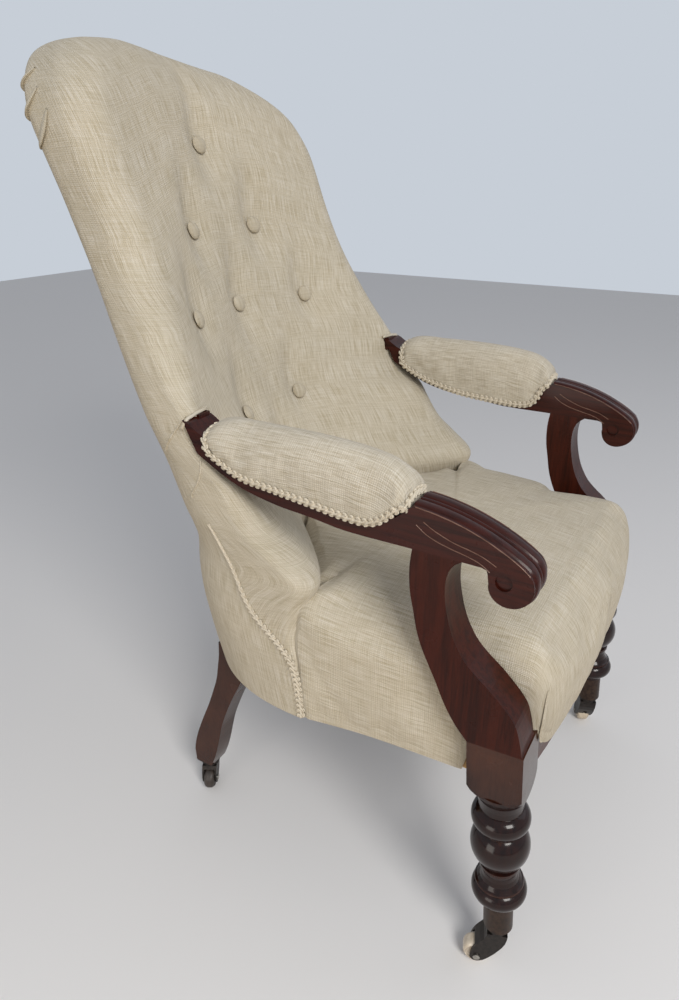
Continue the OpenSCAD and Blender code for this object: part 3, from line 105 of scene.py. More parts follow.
def new_material(name):
    """A material, with add to add its nodes and look to set its shader."""
    material = bpy.data.materials.new(name)
    material.use_nodes = True
    tree = material.node_tree
    return material, partial(add_node, tree), partial(plug, tree, tree.nodes["Principled BSDF"])


TIMES = {"data_type": "RGBA", "blend_type": "MULTIPLY"}

# %% [markdown]
# The cover is a plain woven linen, cream with slubs: single threads that thicken for a few
# centimetres. Real threads lie 0.7 mm apart, too fine for this picture, so they are drawn 2.4 mm
# apart. In Object coordinates the pattern would slide over each fold, so it follows a UV map
# called cloth, in metres.

# %% Woven linen
# A wave texture of scale 1 has a band every 0.314 m
BAND = 0.314
SLUB_WIDTH = 0.0019


def crossed_threads(add, cloth, thread, **uneven):
    waves = {"Vector": cloth, "Scale": BAND / thread, "Detail": 2}
    waves.update((socket.replace("_", " "), value) for socket, value in uneven.items())
    warp, weft = [add("TexWave", waves, bands_direction=way).outputs["Fac"] for way in "XY"]
    return add("Math", {0: warp, 1: weft}, operation="MULTIPLY")


def woven_linen(name, mean, pale, dark, thread=0.0024, slub_length=0.04):
    material, add, look = new_material(name)
    cloth = add("UVMap", uv_map="cloth")
    weave = crossed_threads(
        add, cloth, thread, Distortion=1.2, Detail_Scale=1.4, Detail_Roughness=0.6
    )
    streaks = []
    for away, lengthwise in ((0, 1), (7, 0)):
        stretch = [1 / SLUB_WIDTH, 1 / SLUB_WIDTH, 1]
        stretch[lengthwise] = 1 / slub_length
        placed = add("Mapping", {"Vector": cloth, "Scale": stretch, "Location": (away, 3, 0)})
        streaks.append(
            add("TexNoise", {"Vector": placed, "Scale": 1, "Detail": 2, "Roughness": 0.55})
        )
    weft = add("Math", {0: streaks[1], 1: 0.45}, operation="MULTIPLY")
    slubs = add("Math", {0: streaks[0], 1: weft}, operation="ADD")
    place = add("TexCoord").outputs["Object"]
    cloud = add("TexNoise", {"Vector": place, "Scale": 9, "Detail": 3, "Roughness": 0.5})
    body = add("ValToRGB", {"Fac": slubs}, [(0.5, dark), (0.72, mean), (0.94, pale)])
    soft = add("ValToRGB", {"Fac": cloud}, [(0.3, 0.92), (0.7, 1.0)])
    gaps = add("ValToRGB", {"Fac": weave}, [(0.0, 0.87), (0.55, 1.0)])
    toned = add("Mix", {0: 1.0, 6: body, 7: soft}, **TIMES)
    final = add("Mix", {0: 1.0, 6: toned.outputs[2], 7: gaps}, **TIMES)
    relief = add("Math", {0: slubs, 1: weave}, operation="ADD")
    bump = add("Bump", {"Height": relief, "Strength": 0.6, "Distance": 0.0009})
    look({
        "Base Color": final.outputs[2], "Normal": bump, "Roughness": 0.9,
        "Specular IOR Level": 0.22, "Sheen Weight": 0.12, "Sheen Roughness": 0.5,
    })
    return material


linen_cover = woven_linen("woven_linen_cover", "#D3C9B4", "#E2DACA", "#BFB399")
linen_pad = woven_linen("woven_linen_arm_pads", "#D5CCBA", "#E4DDCE", "#C0B59F", slub_length=0.03)
linen_button = woven_linen("woven_linen_buttons", "#D1C6B0", "#DCD3C0", "#C0B49B", thread=0.0016)
print("linens", linen_cover.name, linen_pad.name, linen_button.name)

# %% [markdown]
# The show wood is mahogany under French polish: dark red-brown, nearly black in the hollows, worn
# redder along the edges. Its figure runs in streaks about 6 mm wide and 110 mm long, with pores a
# millimetre apart. Noise stretched along the grain gives both, on any shape of solid.

# %% Polished mahogany
FIGURE_WIDTH, FIGURE_LENGTH = 0.006, 0.11


def polished_mahogany(
    name, deep, body, worn, grain_axis=2, roughness=0.28, polish=0.12, rubbed_from=0.52
):
    """Edges show the worn tone from the Pointiness called rubbed_from; 0.92 leaves them stained."""
    material, add, look = new_material(name)
    place = add("TexCoord").outputs["Object"]
    scale = [1 / FIGURE_WIDTH] * 3
    scale[grain_axis] = 1 / FIGURE_LENGTH
    along = add("Mapping", {"Vector": place, "Scale": scale})
    figure = add(
        "TexNoise",
        {"Vector": along, "Scale": 1, "Detail": 5, "Roughness": 0.62, "Distortion": 0.35},
    )
    pores = add("TexNoise", {"Vector": along, "Scale": 5.5, "Detail": 2, "Roughness": 0.5})
    patches = add("TexNoise", {"Vector": place, "Scale": 14, "Detail": 4, "Roughness": 0.6})
    stain = add("ValToRGB", {"Fac": figure}, [(0.36, deep), (0.58, body), (0.8, body)])
    pointed = add("NewGeometry").outputs["Pointiness"]
    rubbed_to = min(1.0, rubbed_from + 0.08)
    edges = add("ValToRGB", {"Fac": pointed}, [(rubbed_from, 0.0), (rubbed_to, 1.0)])
    rubbed = add("Math", {0: edges, 1: patches}, operation="MULTIPLY")
    wear = add("Mix", {0: rubbed, 6: stain, 7: linear(worn)}, data_type="RGBA")
    dull = add("ValToRGB", {"Fac": pores}, [(0.3, 0.78), (0.55, 1.0)])
    final = add("Mix", {0: 1.0, 6: wear.outputs[2], 7: dull}, **TIMES)
    shine = add(
        "MapRange", {"Value": patches, 1: 0.3, 2: 0.75, 3: roughness - 0.06, 4: roughness + 0.14}
    )
    bump = add("Bump", {"Height": pores, "Strength": 0.12, "Distance": 0.0004})
    look({
        "Base Color": final.outputs[2], "Normal": bump, "Roughness": shine, "IOR": 1.5,
        "Specular IOR Level": 0.12, "Coat Weight": polish, "Coat Roughness": 0.09,
    })
    return material


# The arms' grain runs front to back, the posts' and legs' upward and the front rail's across
mahogany_arms = polished_mahogany(
    "polished_mahogany_arms", "#2A0E08", "#3D170F", "#7A4030", grain_axis=1, polish=0.16,
    rubbed_from=0.92,
)
mahogany_posts = polished_mahogany(
    "polished_mahogany_posts", "#2D110A", "#40190F", "#6A3828", polish=0.05, rubbed_from=0.92
)
mahogany_legs = polished_mahogany(
    "polished_mahogany_legs", "#180906", "#25100B", "#55301F", roughness=0.18, polish=0.4
)
mahogany_rail = polished_mahogany(
    "polished_mahogany_front_rail", "#1E0C09", "#3C1A14", "#5E3226", grain_axis=0
)
print("mahogany in four finishes")

# %% [markdown]
# Under the cloth the frame is bare beech. The castors are forged iron on steel axles, with ceramic
# wheels in front and hardwood ones behind. All are small or hidden, so one function serves them:
# two tones that drift in spots of the size that the surface has.


# %% Bare beech, steel, iron, brass, ceramic and horsehair
def mottled(name, colour, other, roughness, metallic=0.0, spot_mm=20, bump_depth=0.0002, **shine):
    material, add, look = new_material(name)
    place = add("TexCoord").outputs["Object"]
    mottle = add(
        "TexNoise", {"Vector": place, "Scale": 1000 / spot_mm, "Detail": 5, "Roughness": 0.6}
    )
    tone = add("ValToRGB", {"Fac": mottle}, [(0.35, colour), (0.65, other)])
    dull = add(
        "MapRange", {"Value": mottle, 1: 0.3, 2: 0.7, 3: roughness - 0.05, 4: roughness + 0.08}
    )
    bump = add("Bump", {"Height": mottle, "Strength": 0.2, "Distance": bump_depth})
    look({"Base Color": tone, "Roughness": dull, "Normal": bump, "Metallic": metallic})
    look({socket.replace("_", " "): value for socket, value in shine.items()})
    return material


sawn_beech = mottled("sawn_beech", "#B8935F", "#CDA97A", 0.62, spot_mm=9)
spring_steel = mottled("coppered_spring_steel", "#6A4A34", "#8A6247", 0.42, metallic=0.9, spot_mm=6)
black_iron = mottled("forged_iron_castors", "#25211F", "#3A3430", 0.4, metallic=0.75, spot_mm=5)
dark_brass = mottled("blackened_brass_cups", "#2A1D17", "#46352A", 0.42, metallic=0.6, spot_mm=7)
bright_steel = mottled("bright_steel_axles", "#8E8A84", "#B8B4AC", 0.3, metallic=0.95, spot_mm=4)
glazed_ceramic = mottled(
    "glazed_ceramic_wheels", "#C9BBA6", "#DACDB9", 0.24, spot_mm=12, Coat_Weight=0.5
)
dark_wheel = mottled("turned_hardwood_wheels", "#332C28", "#453C36", 0.45, spot_mm=6)
horsehair = mottled("curled_horsehair", "#3B2E25", "#5C4A3B", 0.85, spot_mm=3, bump_depth=0.001)
braid_cotton = mottled(
    "cotton_gimp_braid", "#C9BFAC", "#DCD3C2", 0.85, spot_mm=1.6, bump_depth=0.0003
)
print("finishes made", len(bpy.data.materials))

# %% [markdown]
# Each solid of the frame takes the finish of its real part: a few by name, the rest by a word in
# it.

# %% Finishes on the frame
FINISHES = {
    "front_seat_rail": mahogany_rail, "seat_springs": spring_steel, "arm_screws": black_iron,
    "castor_pins": bright_steel, "right_arm": mahogany_arms, "left_arm": mahogany_arms,
}
BY_WORD = (
    ("arm_post", mahogany_posts), ("_leg", mahogany_legs), ("castor_cup", dark_brass),
    ("castor", black_iron), ("front_wheel", glazed_ceramic), ("rear_wheel", dark_wheel),
    ("axle", bright_steel), ("stuffing", horsehair), ("", sawn_beech),
)
for name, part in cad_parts.items():
    by_word = next(finish for word, finish in BY_WORD if word in name)
    part.data.materials.clear()
    part.data.materials.append(FINISHES.get(name, by_word))
print("materials on", len(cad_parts), "CAD parts")

# %% [markdown]
# The back could be sculpted, but its curves have to meet the frame. So its shape is read off in
# level slices. Each measure is a smooth curve through a few heights, in millimetres, close to the
# curves that the frame was drawn with.

# %% Smooth curves through measures
HEM, TOP = 303.0, 1119.0
STATIONS = [HEM, 450, 560, 680, 840, 1000, TOP]


def curve_through(places, values):
    places, values = np.array(places, float), np.array(values, float)
    before = np.r_[0, 0 : len(places) - 1]
    after = np.r_[1 : len(places), len(places) - 1]
    slopes = (values[after] - values[before]) / (places[after] - places[before])

    def at(place):
        place = np.asarray(place, float)
        i = np.clip(np.searchsorted(places, place, "right") - 1, 0, len(places) - 2)
        h = places[i + 1] - places[i]
        t = (place - places[i]) / h
        return (
            values[i] * (2 * t**3 - 3 * t**2 + 1) + values[i + 1] * (3 * t**2 - 2 * t**3)
            + slopes[i] * h * (t**3 - 2 * t**2 + t) + slopes[i + 1] * h * (t**3 - t**2)
        )

    return at


def ease(t):
    t = np.clip(t, 0, 1)
    return t * t * (3 - 2 * t)


# Half the back's width, then how far back its side rolls, its hollow and its rear lie
half_curve = curve_through(
    [HEM, 450, 560, 680, 760, 840, 920, 1000, 1060, TOP],
    [279, 281, 282.5, 279, 265, 251, 246, 247, 244, 238],
)
wing_curve = curve_through(
    [HEM, 384, 425, 470, 505, 535, 560, 620, 680, 840, 1000, TOP],
    [-66, -59, -54, -64, -75, -43, -12, 34, 83, 170, 232, 277],
)
hollow_curve = curve_through(STATIONS, [66, 84, 131, 180, 223, 263, 300])
rear_curve = curve_through(STATIONS, [188, 184, 196, 235, 290, 344, 394.6])
# How square the rear corners are, from 2 for an ellipse upward, and the radius of the side rolls
corner_curve = curve_through(STATIONS, [2.4, 3.2, 2.9, 3.1, 3.9, 6.4, 7])
roll_curve = curve_through(
    [HEM, 384, 440, 505, 560, 635, 690, 760, 840, TOP], [10, 12, 16, 26, 33, 18, 16, 30, 38, 38]
)
print("half the back's width at the arms", round(float(half_curve(680)), 1), "mm")

# %% [markdown]
# Toward the top, front and rear curve in to one ridge, as they do over a stuffed crest rail. The
# photograph's chair is old: the sitter's left top corner has settled and is rounder than the
# right.

# %% The back's rounded top
RIDGE_Y, CORNER_R = 345.0, 112.0
FRONT_ROUND_FROM, REAR_ROUND_FROM = 1043, 1086
SETTLED_R, SETTLED_NARROWER = 146, 4
SETTLED_DROP, OTHER_DROP, SETTLES_FROM = 23, 6, 930


def toward_ridge(curve, z, start):
    t = np.clip((z - start) / (TOP - start), 0, 1)
    share = 1 - np.sqrt(np.maximum(0, 1 - t * t))
    return curve(z) * (1 - share) + RIDGE_Y * share


def wing(z):
    return toward_ridge(wing_curve, z, FRONT_ROUND_FROM)


def hollow(z):
    return toward_ridge(hollow_curve, z, FRONT_ROUND_FROM)


def rear(z):
    return toward_ridge(rear_curve, z, REAR_ROUND_FROM)


def half_width(z):
    up = np.maximum(0, z - (TOP - CORNER_R))
    return half_curve(z) - CORNER_R + np.sqrt(np.maximum(0, CORNER_R**2 - up**2))


def settled(points):
    points = points.copy()
    x, z = points[..., 0], points[..., 2]
    up = np.clip(z - (TOP - SETTLED_R), 0, SETTLED_R)
    width = half_curve(z) - SETTLED_NARROWER * ease((z - 700) / 250) - SETTLED_R
    narrow = (width + np.sqrt(SETTLED_R**2 - up**2)) / half_width(z)
    points[..., 0] = np.where(x > 0, x * narrow, x)
    drop = SETTLED_DROP * ease((x + 120) / 280) + OTHER_DROP * ease((-x - 70) / 80)
    points[..., 2] = z - drop * ease((z - SETTLES_FROM) / (TOP - SETTLES_FROM))
    return points


print("half the width below the corners", round(float(half_width(TOP - CORNER_R)), 1), "mm")

# %% [markdown]
# Nine buttons draw the stuffing in. Each makes a round dimple and a long valley above it, where
# the cloth is taut. They are added by formula and not by a simulation, because their places and
# depths are measures of the photograph.

# %% Buttons' dimples and the tuck at the arms
BUTTONS = [
    (0, 993), (-71, 883), (71, 883), (-134, 775), (0, 775), (134, 775), (-71, 628), (71, 628),
    (0, 536),
]
DIMPLE_DEEPEST = 24
ARM_TUCK_Z, ARM_TUCK = 650, 10


def dimples(x, z):
    pull = np.zeros(np.broadcast(x, z).shape)
    for bx, bz in BUTTONS:
        dx, up = x - bx, z - bz
        r2 = dx**2 + (up / 1.2) ** 2
        reach = np.where(up > 0, 78.0, 48.0)
        depth = np.where(up > 0, 0.75, 0.42)
        pull = pull + 0.5 * np.exp(-r2 / 44**2) + 0.36 * np.exp(-r2 / 19**2)
        pull = pull + depth * np.exp(-((dx / 21) ** 2) - (up / reach) ** 2)
    return DIMPLE_DEEPEST * np.tanh(pull)


def arm_tuck(z):
    # The cover is tucked in round the arm, so it lies further back there
    return ARM_TUCK * np.exp(-(((z - ARM_TUCK_Z) / 28) ** 4))


print("dimple at the top button", round(float(dimples(*BUTTONS[0])), 1), "mm")

# %% [markdown]
# A slice has three parts: the hollow inside, the roll round the side, and the rear. Each has a
# function that gives a point of it, from the middle of the back outward on the sitter's left.

# %% The three parts of a slice
ROLL_TURN_MOST = 32


def roll_radius(z):
    return np.minimum(roll_curve(z), 0.45 * (rear(z) - wing(z)) + 0.01)


def roll_turn(z):
    return np.radians(np.minimum(ROLL_TURN_MOST, 70 * (hollow(z) - wing(z)) / half_width(z)))


def inner_place(z, u, dip=True):
    """Share u of the way from the middle to the roll."""
    r, turn = roll_radius(z), roll_turn(z)
    x1 = half_width(z) - r - r * np.sin(turn)
    y1 = wing(z) + r - r * np.cos(turn)
    a = np.abs(u)
    y = hollow(z) * (2 * a**3 - 3 * a**2 + 1) + y1 * (3 * a**2 - 2 * a**3)
    y = y - np.tan(turn) * x1 * (a**3 - a**2)
    x = np.sign(u) * a * x1
    y = y + arm_tuck(z) * np.clip((a - 0.6) / 0.3, 0, 1)
    return x, y + (dimples(x, z) if dip else 0)


def roll_place(z, t):
    """Share t of the way round the roll."""
    r, turn = roll_radius(z), roll_turn(z)
    angle = -turn + (math.pi / 2 + turn) * t
    x = half_width(z) - r + r * np.sin(angle)
    y = wing(z) + r - r * np.cos(angle) + arm_tuck(z)
    return x, y + dimples(x, z) * (1 - t) ** 2


def rear_place(z, f):
    """Turned by f from the side toward the rear, on a squared ellipse."""
    p = 2 / corner_curve(z)
    y0 = wing(z) + roll_radius(z)
    b = np.maximum(0, rear(z) - y0)
    return half_width(z) * np.cos(f) ** p, y0 + b * np.sin(f) ** p


# The seam between the covers, under the gimp, is forward at the foot and rear above the arm
SEAM_TOP = 600
seam_curve = curve_through(
    [HEM, 350, 395, 417, 450, 496, 552, SEAM_TOP], [-54, -54, -46, -27, 10, 34, 64, 94]
)


def seam_turn(z):
    share = np.clip((z - 545) / 135, 0, 1) ** 2
    corner_y = rear_place(z, math.pi / 4)[1]
    seam_y = seam_curve(np.minimum(z, SEAM_TOP)) * (1 - share) + corner_y * share
    y0 = wing(z) + roll_radius(z)
    t = np.clip((seam_y - y0) / np.maximum(rear(z) - y0, 1e-6), 0.0005, 1)
    return np.arcsin(t ** (corner_curve(z) / 2))


print("roll's radius at seat height", round(float(roll_radius(500)), 1), "mm")

# %% [markdown]
# A helper turns a grid of points into a mesh with a UV map called cloth: the distance over the
# surface along and across the grid, in metres, so the weave keeps its size everywhere.


# %% From a grid of points to cloth
def lay_cloth(piece, place):
    """Gives the piece one UV map, called cloth, from each vertex's place on the flat cloth."""
    while piece.data.uv_layers:
        piece.data.uv_layers.remove(piece.data.uv_layers[0])
    layer = piece.data.uv_layers.new(name="cloth")
    corners = np.zeros(len(piece.data.loops), int)
    piece.data.loops.foreach_get("vertex_index", corners)
    layer.data.foreach_set("uv", place[corners].astype(np.float32).ravel())


def grid_faces(rows, columns, closed=False):
    return [
        (j * columns + i, j * columns + k, (j + 1) * columns + k, (j + 1) * columns + i)
        for j in range(rows - 1)
        for i, k in zip(range(columns), [*range(1, columns), 0] if closed else range(1, columns))
    ]


def add_piece(name, mesh, material):
    piece = bpy.data.objects.new(name, mesh)
    bpy.context.scene.collection.objects.link(piece)
    mesh.materials.clear()
    mesh.materials.append(material)
    return piece


def cloth_grid(name, points, material, closed=False):
    rows, columns = points.shape[:2]
    metres = points / 1000
    mesh = bpy.data.meshes.new(name)
    mesh.from_pydata(metres.reshape(-1, 3).tolist(), [], grid_faces(rows, columns, closed))
    piece = add_piece(name, mesh, material)
    step_u = np.linalg.norm(np.diff(metres, axis=1), axis=2)
    step_v = np.linalg.norm(np.diff(metres, axis=0), axis=2)
    u = np.concatenate([np.zeros((rows, 1)), np.cumsum(step_u, axis=1)], axis=1)
    u -= u[:, [columns // 2]]
    v = np.concatenate([np.zeros((1, columns)), np.cumsum(step_v, axis=0)], axis=0)
    v = 0.5 * v + 0.5 * v[:, [columns // 2]]
    lay_cloth(piece, np.stack([u, v], axis=2).reshape(-1, 2))
    return piece


def face_away(piece, middle_of):
    """Turns the faces away from the stuffing, whose middle beside a place is given."""
    total = 0.0
    for face in piece.data.polygons:
        total += face.area * face.normal.dot(face.center - Vector(middle_of(face.center)))
    if total < 0:
        piece.data.flip_normals()


def read_vertices(piece, what="co"):
    values = np.zeros(len(piece.data.vertices) * 3)
    piece.data.vertices.foreach_get(what, values)
    return values.reshape(-1, 3)


# %% [markdown]
# An operator acts on all that is selected, so small helpers select one piece, finish it, hide the
# parts of the frame that it stands for and attach it to the chair.


# %% Helpers that finish a piece
def only(piece):
    bpy.ops.object.select_all(action="DESELECT")
    piece.select_set(True)
    bpy.context.view_layer.objects.active = piece


def smooth(piece, angle=60):
    only(piece)
    bpy.ops.object.shade_smooth_by_angle(angle=math.radians(angle))


def join_to(piece, addition):
    only(piece)
    addition.select_set(True)
    bpy.ops.object.join()


def stand_for(piece, slot, *nodes):
    if nodes:
        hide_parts(*nodes)
    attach(piece, "chair")


# %% [markdown]
# Stuffing pushes a cover out between its tacks, so each is puffed by a short cloth simulation with
# its borders and button places pinned. The swell is capped, to keep clear of the parts beside it.

# %% Puff a cover with the cloth simulation
PUFF_FRAMES = 18
CLOTH = {
    "quality": 5, "mass": 0.3, "tension_stiffness": 18, "compression_stiffness": 18,
    "shear_stiffness": 5, "bending_stiffness": 0.6, "use_pressure": True,
    "vertex_group_mass": "pinned", "shrink_min": -0.015,
}


def puff(piece, pinned, pressure, cap):
    start = read_vertices(piece)
    group = piece.vertex_groups.new(name="pinned")
    group.add([int(index) for index in np.flatnonzero(pinned)], 1.0, "REPLACE")
    only(piece)
    cloth = piece.modifiers.new("stuffing", "CLOTH")
    for name, value in {**CLOTH, "uniform_pressure_force": pressure}.items():
        setattr(cloth.settings, name, value)
    cloth.settings.effector_weights.gravity = 0
    cloth.collision_settings.use_collision = False
    cloth.point_cache.frame_start = 1
    cloth.point_cache.frame_end = PUFF_FRAMES + 2
    for frame_number in range(1, PUFF_FRAMES + 1):
        bpy.context.scene.frame_set(frame_number)
    bpy.ops.object.modifier_apply(modifier=cloth.name)
    piece.vertex_groups.clear()
    shift = read_vertices(piece) - start
    length = np.linalg.norm(shift, axis=1, keepdims=True)
    # Soft cap: small moves stay and large ones level off at the cap
    shift *= np.where(length > 0, cap * np.tanh(length / cap) / np.maximum(length, 1e-9), 1)
    piece.data.vertices.foreach_set("co", (start + shift).ravel())
    piece.data.update()
    bpy.context.scene.frame_set(1)
    print(piece.name, "puffed by up to", round(float(length.max()) * 1000, 1), "mm before the cap")


# %% [markdown]
# The inside back is one cover: hollow in the middle, rolled round each side and over the top,
# drawn in by nine buttons. Rows run level and close up where the top turns back.

# %% The buttoned inside back
body_z = np.linspace(HEM, TOP - CORNER_R, 106)
top_z = TOP - CORNER_R * (1 - np.sin(np.radians(np.linspace(3, 90, 26))))
back_z = np.concatenate([body_z, top_z])
ACROSS_HOLLOW = np.linspace(0, 1, 43)[:-1]
ROUND_ROLL = np.linspace(0, 1, 12)
TO_SEAM = np.linspace(0, 1, 15)[1:]
PINNED_ROUND_BUTTON = 13


def mirrored_rows(places, z):
    """Rows across the whole back, from x and y of one half's columns."""
    xs, ys = [np.array([place[axis] + 0 * z for place in places]).T for axis in (0, 1)]
    zs = np.repeat(z[:, None], xs.shape[1], axis=1)
    right = np.stack([xs, ys, zs], axis=2)
    left = right[:, :0:-1].copy()
    left[:, :, 0] *= -1
    return np.concatenate([left, right], axis=1)


def back_core(place):
    z = place[2] * 1000
    return 0, float(hollow(z) * 0.4 + rear(z) * 0.6) / 1000, place[2]


half = [inner_place(back_z, u) for u in ACROSS_HOLLOW] + [roll_place(back_z, t) for t in ROUND_ROLL]
for s in TO_SEAM:
    x, y = rear_place(back_z, s * seam_turn(back_z))
    half.append((x, y + arm_tuck(back_z) * (1 - s) ** 2))
back_points = settled(mirrored_rows(half, back_z))
inside_back = cloth_grid("buttoned_inside_back", back_points, linen_cover)
face_away(inside_back, back_core)
pins = np.zeros(back_points.shape[:2])
pins[:3] = pins[-4:] = 1
pins[:, :2] = pins[:, -2:] = 1
on_front = np.abs(np.arange(pins.shape[1]) - pins.shape[1] // 2) < len(ACROSS_HOLLOW) + 2
for bx, bz in BUTTONS:
    near = np.hypot(back_points[..., 0] - bx, back_points[..., 2] - bz) < PINNED_ROUND_BUTTON
    pins[near & on_front[None, :]] = 1
puff(inside_back, pins.ravel(), 1.2, 0.006)
smooth(inside_back)
stand_for(inside_back, "cover_cloth", "inside_back_cover", "back_stuffing")
print("inside back", len(inside_back.data.polygons), "faces")

# %% [markdown]
# The outside back is one panel, stretched over the rear of the frame. It needs no simulation: a
# stretched cloth has the shape of what is under it.

# %% The outside back
half = [
    rear_place(back_z, np.pi / 2 + (seam_turn(back_z) - np.pi / 2) * s)
    for s in np.linspace(0, 1, 40)
]
outside_back = cloth_grid("outside_back_panel", settled(mirrored_rows(half, back_z)), linen_cover)
face_away(outside_back, back_core)
smooth(outside_back)
stand_for(outside_back, "cover_cloth", "outside_back_cover")
print("outside back", len(outside_back.data.polygons), "faces")

# %% [markdown]
# The seat is a sprung cushion under one cover. It crowns in the middle, rolls over at the edges,
# is notched round the arm posts and runs back under the inside back. A cube could be rounded to
# this, but the notches and hems follow the frame, so it is made from measured columns.

# %% The seat's measures
FRONT_Y, ARM_IN_X, BLOCK_Y, BLOCK_DEPTH, BLOCK_TOP = -382.0, 240.5, -321.0, 65.0, 382.0
RAIL_TOP, FRONT_HEM, SEAT_H, CROWN, SEAT_R, TONGUE_R = 375.0, 344.0, 502.0, 14.0, 46.0, 26.0
JOINT_Z, EDGE_Z, HIDDEN_HEM = BLOCK_TOP + 3, SEAT_H - CROWN, RAIL_TOP + 25
SIDE_RAIL_X, SEAT_SIDE_X, POST_GAP_X = ARM_IN_X + 14.5, ARM_IN_X + 21.5, ARM_IN_X - 2.2
FRONT_BOW, FRONT_SWELL, BLOCK_LEAN = 16, 6, math.radians(4.5)
post_curve = curve_through(
    [379, 399, 422, 448, 466, 485, 505, 528, 551, 570, 588, 606],
    [-288.6, -272, -258, -246, -237, -228, -221, -216, -211, -209, -209, -211],
)


def notch_y(z):
    block_rear = BLOCK_Y + BLOCK_DEPTH / 2 - (BLOCK_TOP - z) * math.tan(BLOCK_LEAN)
    return block_rear if z < JOINT_Z else max(float(post_curve(z)), block_rear)


def seat_front(x, z):
    swell = math.sin(math.radians(min(180, max(0, 180 * (z - FRONT_HEM) / 112))))
    return FRONT_Y + FRONT_BOW * (x / 225) ** 2 + FRONT_SWELL * (1 - swell)


def seat_columns(z):
    """Half the seat's plan at height z: each column's x and y, its hem and its roll's radius."""
    rows = [((x, seat_front(x, z)), FRONT_HEM + x / 40, SEAT_R) for x in (0, 60, 118, 172, 207)]
    notch, back_y = notch_y(z), float(wing(z))
    rows += [
        ((226, seat_front(226, z) + 3), FRONT_HEM + 6, SEAT_R),
        ((236, BLOCK_Y - 36), JOINT_Z + 2.5, SEAT_R),
        ((POST_GAP_X, BLOCK_Y - 18), JOINT_Z + 2.5, SEAT_R),
        ((POST_GAP_X, notch - 14), JOINT_Z + 2.5, SEAT_R),
        ((POST_GAP_X + 0.8, notch + 2.5), JOINT_Z - 5, SEAT_R),
        ((SIDE_RAIL_X + 2.8, notch + 3), JOINT_Z - 7, SEAT_R),
        ((SEAT_SIDE_X - 1.2, notch + 9), HEM + 9, SEAT_R),
        ((SEAT_SIDE_X, notch + 26), HEM + 8, SEAT_R),
        ((SEAT_SIDE_X + 2.5, -175), HEM + 5, SEAT_R),
        ((SEAT_SIDE_X + 6, -128), HEM + 3, SEAT_R - 4),
        ((SEAT_SIDE_X + 12, back_y - 22), HEM + 2, SEAT_R - 12),
        ((SEAT_SIDE_X + 15, back_y - 1), HEM + 1, SEAT_R - 18),
        ((SEAT_SIDE_X + 12, back_y + 5), HEM + 1, SEAT_R - 18),
        ((SIDE_RAIL_X + 1, back_y + 5), RAIL_TOP + 3, SEAT_R - 16),
        ((219, back_y - 1), HIDDEN_HEM, TONGUE_R),
    ]
    for u in (0.9, 0.72, 0.54, 0.36, 0.18, 0):
        x, y = inner_place(np.array(float(z)), np.array(u), dip=False)
        rows.append(((float(x), float(y) - 1), HIDDEN_HEM, TONGUE_R))
    return rows


print("half the seat has", len(seat_columns(400)), "measured columns")

# %% The seat's cover
WALL = np.linspace(0, 1, 20)
ROLL = np.radians(np.linspace(0, 90, 13))[1:]
COLUMNS_ROUND_HALF = 96
CROWN_SHARES = (0.06, 0.13, 0.21, 0.3, 0.4, 0.5, 0.6, 0.7, 0.8, 0.88, 0.94)
MIDDLE_Y = -150.0


def toward_spine(p):
    s = np.array([min(150, p[0]), min(-20, max(-290, p[1]))])
    d = np.linalg.norm(s - p)
    return (s - p) / d if d > 1 else np.zeros(2)


def seat_profile(i):
    """Points of column i from the hem up the wall and over the roll."""
    _, hem, r = seat_columns(400)[i]
    top = EDGE_Z - r
    heights = [hem + (top - hem) * k for k in WALL]
    line = [[*seat_columns(z)[i][0], z] for z in heights]
    for a in ROLL:
        z = EDGE_Z - r + r * math.sin(a)
        p = np.array(seat_columns(z)[i][0])
        line.append([*(p + toward_spine(p) * r * (1 - math.cos(a))), z])
    return line


profiles = np.array([seat_profile(i) for i in range(len(seat_columns(400)))])
# More columns between the measured ones, evenly spaced round the seat
steps = np.linalg.norm(np.diff(profiles[:, len(WALL) - 1], axis=0), axis=1)
spacing = np.r_[0, np.cumsum(steps)]
wanted = np.linspace(0, spacing[-1], COLUMNS_ROUND_HALF)
measures = profiles.reshape(len(profiles), -1).T
seat_half = np.array([np.interp(wanted, spacing, one) for one in measures]).T
seat_half = seat_half.reshape(COLUMNS_ROUND_HALF, -1, 3)
# Ease the plan's corners, but keep the notch round the post square
for _ in range(5):
    inner_rows = (seat_half[2:] + seat_half[:-2]) / 2
    keep = np.abs(seat_half[1:-1, :, 1] + 282) < 34
    keep &= seat_half[1:-1, :, 0] > 225
    keep |= seat_half[1:-1, :, 1] > -100
    eased = 0.5 * seat_half[1:-1] + 0.5 * inner_rows
    seat_half[1:-1] = np.where(keep[..., None], seat_half[1:-1], eased)
loop = np.concatenate([seat_half, seat_half[-2:0:-1] * [-1, 1, 1]])
edge = loop[:, -1]
rings = [loop[:, j] for j in range(loop.shape[1])]
for f in CROWN_SHARES:
    ring = edge.copy()
    ring[:, :2] = edge[:, :2] * (1 - f) + np.array([0, MIDDLE_Y]) * f
    ring[:, 2] = edge[:, 2] + CROWN * (1 - (1 - f) ** 2)
    rings.append(ring)
seat = cloth_grid("sprung_seat", np.array(rings), linen_cover, closed=True)
